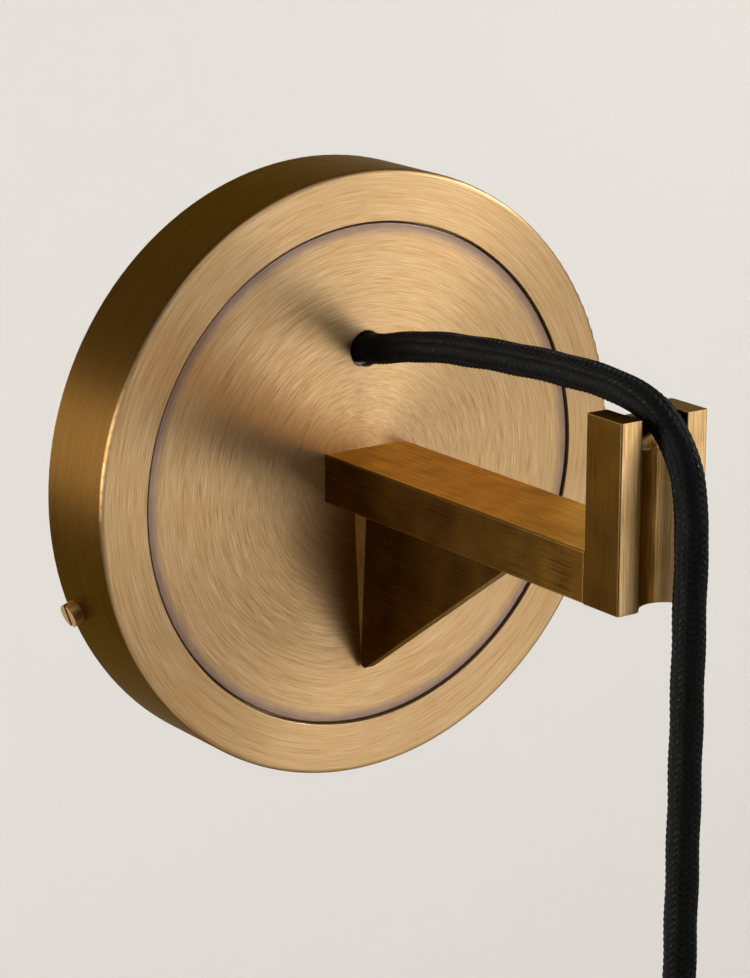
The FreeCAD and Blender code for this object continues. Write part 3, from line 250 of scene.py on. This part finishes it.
# ---------------------------------------------------------------- canopy and turned fittings
# The round canopy, spun from brass sheet, brushed while it turned, browned and lacquered: warm
# antique gold with fine rings round its axis, and bright wedges across them under a lamp.
def turned_marks(material, middle, axis, pitch, arcs):
    """Brush rings about an axis through middle, broken into arcs: their strength, and the radius,
    depth and heading of each place about the axis."""
    place = add(material, "ShaderNodeTexCoord").outputs["Object"]
    off = add(material, "ShaderNodeVectorMath", {0: place, 1: middle}, operation="SUBTRACT")
    spoke = add(material, "ShaderNodeVectorMath", {0: off.outputs[0], 1: [1 - part for part in axis]},
                operation="MULTIPLY")
    radius = add(material, "ShaderNodeVectorMath", {0: spoke.outputs[0]},
                 operation="LENGTH").outputs["Value"]
    depth = add(material, "ShaderNodeVectorMath", {0: off.outputs[0], 1: axis},
                operation="DOT_PRODUCT").outputs["Value"]
    heading = add(material, "ShaderNodeVectorMath", {0: spoke.outputs[0]}, operation="NORMALIZE")
    around = add(material, "ShaderNodeVectorMath", {0: heading.outputs[0], "Scale": arcs},
                 operation="SCALE")
    steps = add(material, "ShaderNodeMath", {0: radius, 1: pitch}, operation="DIVIDE")
    rings = add(material, "ShaderNodeVectorMath", {0: axis, "Scale": steps.outputs[0]},
                operation="SCALE")
    where = add(material, "ShaderNodeVectorMath", {0: around.outputs[0], 1: rings.outputs[0]})
    layer = add(material, "ShaderNodeMath", {0: depth, 1: pitch}, operation="DIVIDE")
    marks = add(material, "ShaderNodeTexNoise", {
        "Vector": where.outputs[0], "W": layer.outputs[0], "Scale": 1.0, "Detail": 3.0,
        "Roughness": 0.65}, noise_dimensions="4D")
    return marks.outputs[0], radius, depth, heading.outputs[0]


def softened_edge(material, tone, bare):
    """Edges rounded by 0.3 mm and worn to a paler tone: gives the normal and the tone."""
    edge_round = 0.0003
    rounded = add(material, "ShaderNodeBevel", {"Radius": edge_round}, samples=4)
    plain = add(material, "ShaderNodeNewGeometry").outputs["Normal"]
    turn = add(material, "ShaderNodeVectorMath", {0: rounded.outputs[0], 1: plain},
               operation="DOT_PRODUCT")
    worn = add(material, "ShaderNodeMapRange", {"Value": turn.outputs["Value"], "From Min": 0.985,
                                                "From Max": 0.9, "To Max": 0.5})
    worn_tone = add(material, "ShaderNodeMixRGB", {"Fac": worn.outputs[0],
                                                   "Color1": tone.outputs[0], "Color2": bare})
    return rounded.outputs[0], worn_tone


# Brush marks are about 0.05 mm wide. They are drawn at 0.16 mm to show at this distance, over
# broader ones of 1.1 mm, each broken into arcs. The browning stays in them and dulls them, and the
# ridges between them are clear and smoother.
fine_pitch, fine_arcs = 0.00016, 6
broad_pitch, broad_arcs, broad_share = 0.0011, 2.5, 0.25
mark_depth, mark_strength = 0.00004, 0.12
in_the_marks, on_the_ridges = from_hex("#8E6526"), from_hex("#BAA280")
dull_marks, smooth_ridges = 0.46, 0.34
# With the mark's direction as tangent, a quarter turn spreads the light across the marks.
across_the_marks = 0.25


def turned_brass(name, middle, axis, patina=None, patina_and_shade=None, rolled=None):
    """Brass brushed in rings. patina gives the radii between which a dull edge band fades in, and
    patina_and_shade those between which dark brown fades in over the outer edge and the side wall:
    patina that the brush didn't reach, painted darker as the side wall's shade. rolled is the radius
    and depth of the line that the outer edge is rounded about, to light it as truly round, because the
    normals of its mesh are uneven."""
    brass = new_material(name)
    fine, radius, depth_in, heading = turned_marks(brass, middle, axis, fine_pitch, fine_arcs)
    broad = turned_marks(brass, middle, axis, broad_pitch, broad_arcs)[0]
    mixed = add(brass, "ShaderNodeMath", {0: broad, 1: broad_share, 2: fine},
                operation="MULTIPLY_ADD")
    depth = add(brass, "ShaderNodeMapRange", {"Value": mixed.outputs[0], "From Min": 0.3,
                                              "From Max": 0.95})
    tone = add(brass, "ShaderNodeMixRGB", {"Fac": depth.outputs[0], "Color1": in_the_marks,
                                           "Color2": on_the_ridges})
    gloss = add(brass, "ShaderNodeMapRange", {"Value": fine, "From Min": 0.3, "From Max": 0.7,
                                              "To Min": dull_marks, "To Max": smooth_ridges})
    # Painted shade: dark brown fades in by radius over the outer edge and the side wall.
    if patina_and_shade:
        inner, outer = patina_and_shade
        brown = add(brass, "ShaderNodeMapRange", {"Value": radius, "From Min": inner,
                                                  "From Max": outer})
        side_shade_tone = add(brass, "ShaderNodeMixRGB", {"Fac": depth.outputs[0],
                                                     "Color1": from_hex("#2E1E0B"),
                                                     "Color2": from_hex("#573D1B")})
        tone = add(brass, "ShaderNodeMixRGB", {"Fac": brown.outputs[0], "Color1": tone.outputs[0],
                                               "Color2": side_shade_tone.outputs[0]})
    if patina:
        inner, outer = patina
        # The band's inner border wavers by about half a millimetre over every four.
        reach_of_waver = 0.0012
        place = add(brass, "ShaderNodeTexCoord").outputs["Object"]
        waver = add(brass, "ShaderNodeTexNoise", {"Vector": place, "Scale": 260, "Detail": 2})
        shifted = add(brass, "ShaderNodeMath", {0: waver.outputs[0], 1: reach_of_waver, 2: radius},
                      operation="MULTIPLY_ADD")
        band = add(brass, "ShaderNodeMapRange", {"Value": shifted.outputs[0], "From Min": inner,
                                                 "From Max": outer, "To Max": 0.85},
                   interpolation_type="SMOOTHSTEP")
        tone = add(brass, "ShaderNodeMixRGB", {"Fac": band.outputs[0], "Color1": tone.outputs[0],
                                               "Color2": from_hex("#6B5A58")})
    edge, tone = softened_edge(brass, tone, on_the_ridges)
    if rolled:
        rim_radius, rim_depth = rolled
        beyond = add(brass, "ShaderNodeMath", {0: radius, 1: rim_radius}, operation="SUBTRACT")
        before = add(brass, "ShaderNodeMath", {0: depth_in, 1: rim_depth}, operation="SUBTRACT")
        outward = add(brass, "ShaderNodeVectorMath", {0: heading, "Scale": beyond.outputs[0]},
                      operation="SCALE")
        along = add(brass, "ShaderNodeVectorMath", {0: axis, "Scale": before.outputs[0]},
                    operation="SCALE")
        turned_out = add(brass, "ShaderNodeVectorMath", {0: outward.outputs[0], 1: along.outputs[0]})
        true_round = add(brass, "ShaderNodeVectorMath", {0: turned_out.outputs[0]},
                         operation="NORMALIZE")
        is_out = add(brass, "ShaderNodeMath", {0: beyond.outputs[0], 1: 0.0},
                     operation="GREATER_THAN")
        is_front = add(brass, "ShaderNodeMath", {0: before.outputs[0], 1: 0.0},
                       operation="LESS_THAN")
        on_roll = add(brass, "ShaderNodeMath", {0: is_out.outputs[0], 1: is_front.outputs[0]},
                      operation="MULTIPLY")
        edge = add(brass, "ShaderNodeMixRGB", {"Fac": on_roll.outputs[0], "Color1": edge,
                                               "Color2": true_round.outputs[0]}).outputs[0]
    marks = add(brass, "ShaderNodeBump", {"Height": fine, "Strength": mark_strength,
                                          "Distance": mark_depth, "Normal": edge})
    turning = add(brass, "ShaderNodeTangent", {}, direction_type="RADIAL",
                  axis="XYZ"[axis.index(1)])
    return finished(brass, add(brass, "ShaderNodeBsdfPrincipled", {
        "Base Color": tone.outputs[0], "Metallic": 1.0, "Roughness": gloss.outputs[0],
        "Specular Tint": from_hex("#E0CDAE"), "Anisotropic": 0.75,
        "Anisotropic Rotation": across_the_marks, "Tangent": turning.outputs[0],
        "Normal": marks.outputs[0]}))


canopy_middle, into_wall, upward = (0, 0, 0), (0, 1, 0), (0, 0, 1)
# The front edge is rounded by 1 mm, and the brush reached about half-way round it. Beyond that, over
# the roll and the side wall, the colour fades to dark brown: unbrushed patina, painted darker as the
# side wall's shade.
edge_roll, side_painted_shade = (0.0615, -0.019), (0.0620, 0.06245)
dress(turned_brass("antique_brass_canopy", canopy_middle, into_wall, patina_and_shade=side_painted_shade,
                   rolled=edge_roll), "canopy_shell")

# ---------------------------------------------------------------- face plate
# The turned disc that sits in the canopy and carries arm and cord hole, with three studs behind.
# It is brushed like the canopy. Handling and lacquer leave a soft purple-grey band at its edge.
edge_band = (0.0490, 0.0522)
dress(turned_brass("antique_brass_face_plate", canopy_middle, into_wall, patina=edge_band),
      "face_plate")


# ---------------------------------------------------------------- arm, gusset and cradle
# Cut from drawn brass bar and plate, brazed together, brushed by hand along their length, then
# browned and lacquered: fine straight scratches, and cloudy darker patches from the browning.
def drawn_brass(name, along, unshaded_side, dark, light, shade_browns, cloud, shaded_groove=None):
    """Brass brushed straight along one direction, with patches of brown patina. Faces that don't look
    towards unshaded_side get painted shade: the shade_browns in place of their own tone. cloud is how
    strong the patches are. shaded_groove is the upright axis of a groove that gets painted shade too,
    the radii between which that fades out, and the places on its right between which the shade is
    taken off again as painted light next to the hanging cord."""
    brass = new_material(name)
    coordinates = add(brass, "ShaderNodeTexCoord").outputs
    place, looking = coordinates["Object"], coordinates["Normal"]
    # Scratches are about 0.05 mm wide. They are drawn 0.25 mm wide and about 12 mm long to show.
    across_scratches, along_scratches = 4000, 80
    stretch = [along_scratches if part else across_scratches for part in along]
    spread = add(brass, "ShaderNodeVectorMath", {0: place, 1: stretch}, operation="MULTIPLY")
    scratches = add(brass, "ShaderNodeTexNoise", {"Vector": spread.outputs[0], "Scale": 1.0,
                                                  "Detail": 3.0, "Roughness": 0.6})
    # Patches of the browning, about 8 mm across.
    patches = add(brass, "ShaderNodeTexNoise", {"Vector": place, "Scale": 130, "Detail": 3})
    patina_and_shade = add(brass, "ShaderNodeMath", {0: patches.outputs[0], 1: cloud,
                                            2: scratches.outputs[0]}, operation="MULTIPLY_ADD")
    depth = add(brass, "ShaderNodeMapRange", {"Value": patina_and_shade.outputs[0],
                                              "From Min": 0.3 + cloud / 2,
                                              "From Max": 0.7 + cloud / 2})
    tone = add(brass, "ShaderNodeMixRGB", {"Fac": depth.outputs[0], "Color1": from_hex(dark),
                                           "Color2": from_hex(light)})
    # Painted shade: faces turned from unshaded_side take the shade browns, chosen by the way they
    # face.
    toward = add(brass, "ShaderNodeVectorMath", {0: looking, 1: unshaded_side},
                 operation="DOT_PRODUCT")
    facing = add(brass, "ShaderNodeMath", {0: toward.outputs["Value"]}, operation="ABSOLUTE")
    painted_shade_mask = add(brass, "ShaderNodeMapRange", {"Value": facing.outputs[0], "From Min": 0.99,
                                             "From Max": 0.8}).outputs[0]
    # Painted shade in the cradle's groove, fading out over its lips; on its right, next to the hanging
    # cord, it is taken off again as painted light.
    if shaded_groove:
        middle, (inner, outer), (lit_start, lit_full) = shaded_groove
        off = add(brass, "ShaderNodeVectorMath", {0: place, 1: middle}, operation="SUBTRACT")
        spoke = add(brass, "ShaderNodeVectorMath", {0: off.outputs[0], 1: (1, 1, 0)},
                    operation="MULTIPLY")
        reach = add(brass, "ShaderNodeVectorMath", {0: spoke.outputs[0]}, operation="LENGTH")
        inside = add(brass, "ShaderNodeMapRange", {"Value": reach.outputs["Value"],
                                                   "From Min": outer, "From Max": inner})
        sideways = add(brass, "ShaderNodeSeparateXYZ", {"Vector": off.outputs[0]})
        painted_lit_side = add(brass, "ShaderNodeMapRange", {"Value": sideways.outputs[0],
                                                   "From Min": lit_start, "From Max": lit_full})
        painted_lit_groove = add(brass, "ShaderNodeMath", {0: painted_lit_side.outputs[0], 1: inside.outputs[0]},
                            operation="MULTIPLY")
        darkened = add(brass, "ShaderNodeMath", {0: painted_shade_mask, 1: inside.outputs[0]},
                       operation="MAXIMUM")
        painted_shade_mask = add(brass, "ShaderNodeMath", {0: darkened.outputs[0], 1: painted_lit_groove.outputs[0]},
                   operation="SUBTRACT", use_clamp=True).outputs[0]
    # The colour of the painted shade: the two shade browns, mixed by the patches.
    brown = add(brass, "ShaderNodeMixRGB", {"Fac": depth.outputs[0],
                                            "Color1": from_hex(shade_browns[0]),
                                            "Color2": from_hex(shade_browns[1])})
    tone = add(brass, "ShaderNodeMixRGB", {"Fac": painted_shade_mask, "Color1": tone.outputs[0],
                                           "Color2": brown.outputs[0]})
    gloss = add(brass, "ShaderNodeMapRange", {"Value": scratches.outputs[0], "From Min": 0.3,
                                              "From Max": 0.7, "To Min": 0.42, "To Max": 0.27})
    edge, tone = softened_edge(brass, tone, from_hex(light))
    marks = add(brass, "ShaderNodeBump", {"Height": scratches.outputs[0],
                                          "Strength": mark_strength, "Distance": mark_depth,
                                          "Normal": edge})
    run = add(brass, "ShaderNodeCombineXYZ", {"X": along[0], "Y": along[1], "Z": along[2]})
    return finished(brass, add(brass, "ShaderNodeBsdfPrincipled", {
        "Base Color": tone.outputs[0], "Metallic": 1.0, "Roughness": gloss.outputs[0],
        "Specular Tint": from_hex("#E2D0B2"), "Anisotropic": 0.6,
        "Anisotropic Rotation": across_the_marks, "Tangent": run.outputs[0],
        "Normal": marks.outputs[0]}))


bar_clouds, cradle_clouds = 0.6, 0.35
dress(drawn_brass("antique_brass_flat_bar", into_wall, upward, "#8A6128", "#C4974C",
                  ("#3A260E", "#684A1E"), bar_clouds), "arm", "gusset")
# The cradle's groove is 5.2 mm in radius about an axis 1.9 mm in front of its face. Its painted shade
# fades out over its lips, and the painted light on its right, next to the cord, begins 0.9 mm on the
# right of its middle.
groove_axis = (0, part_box("cradle")[0][1] - 0.0019, 0)
groove_painted_shade, groove_painted_lit_side = (0.0053, 0.0066), (0.0009, 0.0022)
dress(drawn_brass("antique_brass_cradle", upward, into_wall, "#8A6730", "#C2A376",
                  ("#281906", "#4A3210"), cradle_clouds,
                  shaded_groove=(groove_axis, groove_painted_shade, groove_painted_lit_side)), "cradle")

# ---------------------------------------------------------------- cord
# Round three-core cable in a black textile braid, 6.4 mm thick. Twelve columns of slanting
# stitches run along it: matt black yarn with fine fibres that catch the light on raised stitches.
cord_d = 0.0064
# From the end inside the canopy, out of the plate, over the saddle and straight down to the head.
route = [(0, -0.011, 0.0262), (0, -0.022, 0.0262), (0, -0.039, 0.0308), (0, -0.066, 0.0336),
         (0, -0.092, 0.0349), (0, -0.1075, 0.0336), (0, -0.1172, 0.0265), (0, -0.120, 0.015),
         (0, -0.120, 0.010), (0, -0.120, -0.104)]
curve = bpy.data.curves.new("cord_line", "CURVE")
curve.dimensions = "3D"
spline = curve.splines.new("NURBS")
spline.points.add(len(route) - 1)
for point, place in zip(spline.points, route):
    point.co = (*place, 1)
spline.order_u = 3
spline.use_endpoint_u = True
spline.resolution_u = 60
line = bpy.data.objects.new("cord_line", curve)
bpy.context.scene.collection.objects.link(line)
line_mesh = bpy.data.meshes.new_from_object(line)
centre = [vertex.co.copy() for vertex in line_mesh.vertices]
bpy.data.meshes.remove(line_mesh)
bpy.data.objects.remove(line)

# The braid has 12 columns of stitches 1.35 mm long, with the valleys between them 0.32 mm deep. The
# three cores inside press it out by 0.08 mm and turn once in 45 mm of cord.
columns, stitch, relief = 12, 0.00135, 0.00032
core_twist, core_swell = 0.045, 0.00008
yarn_top = cord_d / 2
# A stitch is this high, as a share of its middle, where two columns meet.
border_share = 0.45
# The mesh has a ring every 0.19 mm, and seven faces across a column.
ring_step, column_faces = 0.00019, 7


def evenly(points, step):
    """Places along a line at even steps, each with the length up to it."""
    places, walked, due = [(0.0, points[0])], 0.0, step
    for a, b in zip(points, points[1:]):
        run = (b - a).length
        while walked + run >= due:
            places.append((due, a.lerp(b, (due - walked) / run)))
            due += step
        walked += run
    return places


def stitch_height(column, row):
    """Height of the yarn above the valleys: slanting stitches that mirror from column to column."""
    fold = column % 2
    lean = fold if fold < 1 else 2 - fold
    across = (lean + row) % 1 - 0.5
    over = math.sin(math.pi * (column % 1))
    crown = border_share + (1 - border_share) * over ** 0.5
    return math.sqrt(max(0.0, 1 - (2 * across) ** 2)) * crown


def braided(name, stations):
    """A tube of braid along stations of (length, place), closed at both ends."""
    around = columns * column_faces
    verts, faces, sewn = [], [], []
    for k, (length, place) in enumerate(stations):
        before = stations[max(k - 1, 0)][1]
        after = stations[min(k + 1, len(stations) - 1)][1]
        ahead = (after - before).normalized()
        side = Vector((1, 0, 0))
        outward = side.cross(ahead)
        for n in range(around):
            angle = 2 * math.pi * n / around
            swell = core_swell * math.cos(3 * (angle - 2 * math.pi * length / core_twist))
            high = relief * (stitch_height(n / column_faces, length / stitch) - 1)
            reach = yarn_top + high + swell - core_swell
            verts.append(place + (side * math.cos(angle) + outward * math.sin(angle)) * reach)
    rings = len(stations)
    for k in range(rings - 1):
        for n in range(around):
            m = (n + 1) % around
            here, beyond = k * around, (k + 1) * around
            faces.append((here + n, here + m, beyond + m, beyond + n))
            low, high = stations[k][0] / stitch, stations[k + 1][0] / stitch
            left, right = n / column_faces, (n + 1) / column_faces
            sewn += [(left, low), (right, low), (right, high), (left, high)]
    first, last = range(around - 1, -1, -1), range((rings - 1) * around, rings * around)
    faces += [tuple(first), tuple(last)]
    sewn += [(0, 0)] * (2 * around)
    mesh = bpy.data.meshes.new(name)
    mesh.from_pydata(verts, [], faces)
    rows = mesh.uv_layers.new(name="columns_and_rows")
    rows.data.foreach_set("uv", [part for uv in sewn for part in uv])
    mesh.shade_smooth()
    tube = bpy.data.objects.new(name, mesh)
    bpy.context.scene.collection.objects.link(tube)
    return tube


braid = new_material("black_textile_braid")
braid_rows = add(braid, "ShaderNodeUVMap", {}, uv_map="columns_and_rows")
braid_split = add(braid, "ShaderNodeSeparateXYZ", {"Vector": braid_rows.outputs[0]})
braid_fold = add(braid, "ShaderNodeMath", {0: braid_split.outputs[0], 1: 1.0},
                 operation="PINGPONG")
braid_lean = add(braid, "ShaderNodeMath", {0: braid_fold.outputs[0], 1: braid_split.outputs[1]},
                 operation="ADD")
# Real filaments are 0.02 mm; five to a stitch are drawn, so that they show at all.
fibres_to_a_stitch, fibre_depth = 5, 0.00004
fibre_turn = add(braid, "ShaderNodeMath", {0: braid_lean.outputs[0],
                                           1: fibres_to_a_stitch * 2 * math.pi},
                 operation="MULTIPLY")
fibres = add(braid, "ShaderNodeMath", {0: fibre_turn.outputs[0]}, operation="SINE")
across_yarn = add(braid, "ShaderNodeMath", {0: braid_lean.outputs[0], 1: 0.5},
                  operation="PINGPONG")
braid_place = add(braid, "ShaderNodeTexCoord").outputs["Object"]
# Tufts of lint, about half a millimetre across: greyer, and on the crown of a stitch a small glint.
lint = add(braid, "ShaderNodeTexNoise", {"Vector": braid_place, "Scale": 2200, "Detail": 3})
yarn_light = add(braid, "ShaderNodeMapRange", {"Value": lint.outputs[0], "From Min": 0.5,
                                               "From Max": 0.75})
yarn_tone = add(braid, "ShaderNodeMixRGB", {"Fac": yarn_light.outputs[0],
                                            "Color1": from_hex("#040404"),
                                            "Color2": from_hex("#0D0D0C")})
# Painted shade: the yarn's colour darkens to 35 % in the valleys between stitches.
valley = add(braid, "ShaderNodeMapRange", {"Value": across_yarn.outputs[0], "From Max": 0.2,
                                           "To Min": 0.35})
yarn_shaded = add(braid, "ShaderNodeMixRGB", {"Fac": 1.0, "Color1": yarn_tone.outputs[0],
                                              "Color2": valley.outputs[0]}, blend_type="MULTIPLY")
stitch_top = add(braid, "ShaderNodeMath", {0: lint.outputs[0], 1: across_yarn.outputs[0]},
                 operation="MULTIPLY")
yarn_gloss = add(braid, "ShaderNodeMapRange", {"Value": stitch_top.outputs[0], "From Min": 0.21,
                                               "From Max": 0.25, "To Min": 0.6, "To Max": 0.15})
fibre_relief = add(braid, "ShaderNodeBump", {"Height": fibres.outputs[0], "Strength": 0.5,
                                             "Distance": fibre_depth})
finished(braid, add(braid, "ShaderNodeBsdfPrincipled", {
    "Base Color": yarn_shaded.outputs[0], "Roughness": yarn_gloss.outputs[0], "IOR": 1.45,
    "Specular IOR Level": 0.07, "Normal": fibre_relief.outputs[0]}))

# The cord bends at two places in its hanging stretch, so it is made in two lengths that meet between
# them.
swing_place, sway_place = (Vector(joint["pos_m"]) for joint in frame["joints"])
meeting = (swing_place + sway_place) / 2
above_swing, below_sway = swing_place * 2 - meeting, sway_place * 2 - meeting
stations = evenly(centre, ring_step)
upper = [(length, place) for length, place in stations
         if place.y > meeting.y + cord_d / 4 or place.z >= meeting.z]
lower = stations[len(upper) - 1:]
upper_tube = braided("cord_over_the_cradle", upper)
lower_tube = braided("cord_to_the_head", lower)
for tube, run, links, bend_start, bend_end in (
        (upper_tube, upper, ("wall", "pendant_link"), above_swing, meeting),
        (lower_tube, lower, ("pendant_link", "pendant"), meeting, below_sway)):
    tube.data.materials.append(braid)
    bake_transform(tube)
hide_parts("cord_over_cradle", "cord_bend")
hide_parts("cord_drop")

# ---------------------------------------------------------------- small brass parts
# Screws and studs, turned from brass rod and browned to match the canopy. Their marks run round no
# common axis, so they have only the rod's fine grain, about 0.4 mm, as a soft satin shine.
rod = new_material("antique_brass_rod_turned")
rod_place = add(rod, "ShaderNodeTexCoord").outputs["Object"]
rod_grain = add(rod, "ShaderNodeTexNoise", {"Vector": rod_place, "Scale": 2500, "Detail": 3})
rod_tone = add(rod, "ShaderNodeMixRGB", {"Fac": rod_grain.outputs[0],
                                         "Color1": from_hex("#8A6536"),
                                         "Color2": from_hex("#C69E62")})
rod_gloss = add(rod, "ShaderNodeMapRange", {"Value": rod_grain.outputs[0],
                                            "To Min": 0.42, "To Max": 0.26})
finished(rod, add(rod, "ShaderNodeBsdfPrincipled", {
    "Base Color": rod_tone.outputs[0], "Metallic": 1.0, "Roughness": rod_gloss.outputs[0]}))
dress(rod, "face_plate_studs", "canopy_side_screws", "earth_screw", "head_grip_screw",
      "shade_screws")

# ---------------------------------------------------------------- head
# Cap and shade of the lamp head, turned from brass tube and bar about the hanging cord, with the
# grip, nut and ring turned to match. Same brushing, browning and lacquer as the canopy.
head_middle = (0, swing_place.y, 0)
dress(turned_brass("antique_brass_head", head_middle, upward),
      "head_cap", "shade", "shade_ring", "head_cord_grip", "head_grip_nut")

# ---------------------------------------------------------------- lampholder
# The socket that takes the lamp's two pins, screwed up into the cap. Pressed and fired steatite:
# chalky off-white with tiny grey specks, about 0.4 mm apart.
porcelain = new_material("fired_steatite")
porcelain_place = add(porcelain, "ShaderNodeTexCoord").outputs["Object"]
porcelain_grain = add(porcelain, "ShaderNodeTexNoise", {"Vector": porcelain_place, "Scale": 2600,
                                                        "Detail": 2})
porcelain_specks = add(porcelain, "ShaderNodeMapRange", {"Value": porcelain_grain.outputs[0],
                                                         "From Min": 0.62, "From Max": 0.7})
porcelain_tone = add(porcelain, "ShaderNodeMixRGB", {"Fac": porcelain_specks.outputs[0],
                                                     "Color1": from_hex("#E9E4D9"),
                                                     "Color2": from_hex("#C4BFB4")})
finished(porcelain, add(porcelain, "ShaderNodeBsdfPrincipled", {
    "Base Color": porcelain_tone.outputs[0], "Roughness": 0.6, "IOR": 1.6}))
dress(porcelain, "lampholder")

# ---------------------------------------------------------------- lamp
# The push-in lamp: a satin white moulded body, and a frosted glass lens that scatters its light
# and looks like pale ground ice.
lamp_white = new_material("satin_white_polycarbonate")
lamp_place = add(lamp_white, "ShaderNodeTexCoord").outputs["Object"]
# The mould's skin, grain of 0.25 mm.
lamp_grain = add(lamp_white, "ShaderNodeTexNoise", {"Vector": lamp_place, "Scale": 4000, "Detail": 2})
lamp_tone = add(lamp_white, "ShaderNodeMixRGB", {"Fac": lamp_grain.outputs[0],
                                                 "Color1": from_hex("#E2E1DD"),
                                                 "Color2": from_hex("#F0EFEC")})
lamp_skin = add(lamp_white, "ShaderNodeBump", {"Height": lamp_grain.outputs[0], "Strength": 0.1,
                                               "Distance": grain_depth})
finished(lamp_white, add(lamp_white, "ShaderNodeBsdfPrincipled", {
    "Base Color": lamp_tone.outputs[0], "Roughness": 0.36, "IOR": 1.58,
    "Normal": lamp_skin.outputs[0]}))
dress(lamp_white, "lamp_body")

frosted = new_material("frosted_glass")
frosted_place = add(frosted, "ShaderNodeTexCoord").outputs["Object"]
# Ground grain of 0.15 mm.
frosted_grain = add(frosted, "ShaderNodeTexNoise", {"Vector": frosted_place, "Scale": 6500,
                                                    "Detail": 2})
frosted_skin = add(frosted, "ShaderNodeBump", {"Height": frosted_grain.outputs[0], "Strength": 0.4,
                                               "Distance": grain_depth})
frosted_gloss = add(frosted, "ShaderNodeMapRange", {"Value": frosted_grain.outputs[0],
                                                    "To Min": 0.4, "To Max": 0.6})
finished(frosted, add(frosted, "ShaderNodeBsdfPrincipled", {
    "Base Color": from_hex("#F2F5F5"), "Roughness": frosted_gloss.outputs[0], "IOR": 1.5,
    "Transmission Weight": 0.85, "Normal": frosted_skin.outputs[0]}))
dress(frosted, "lamp_lens")
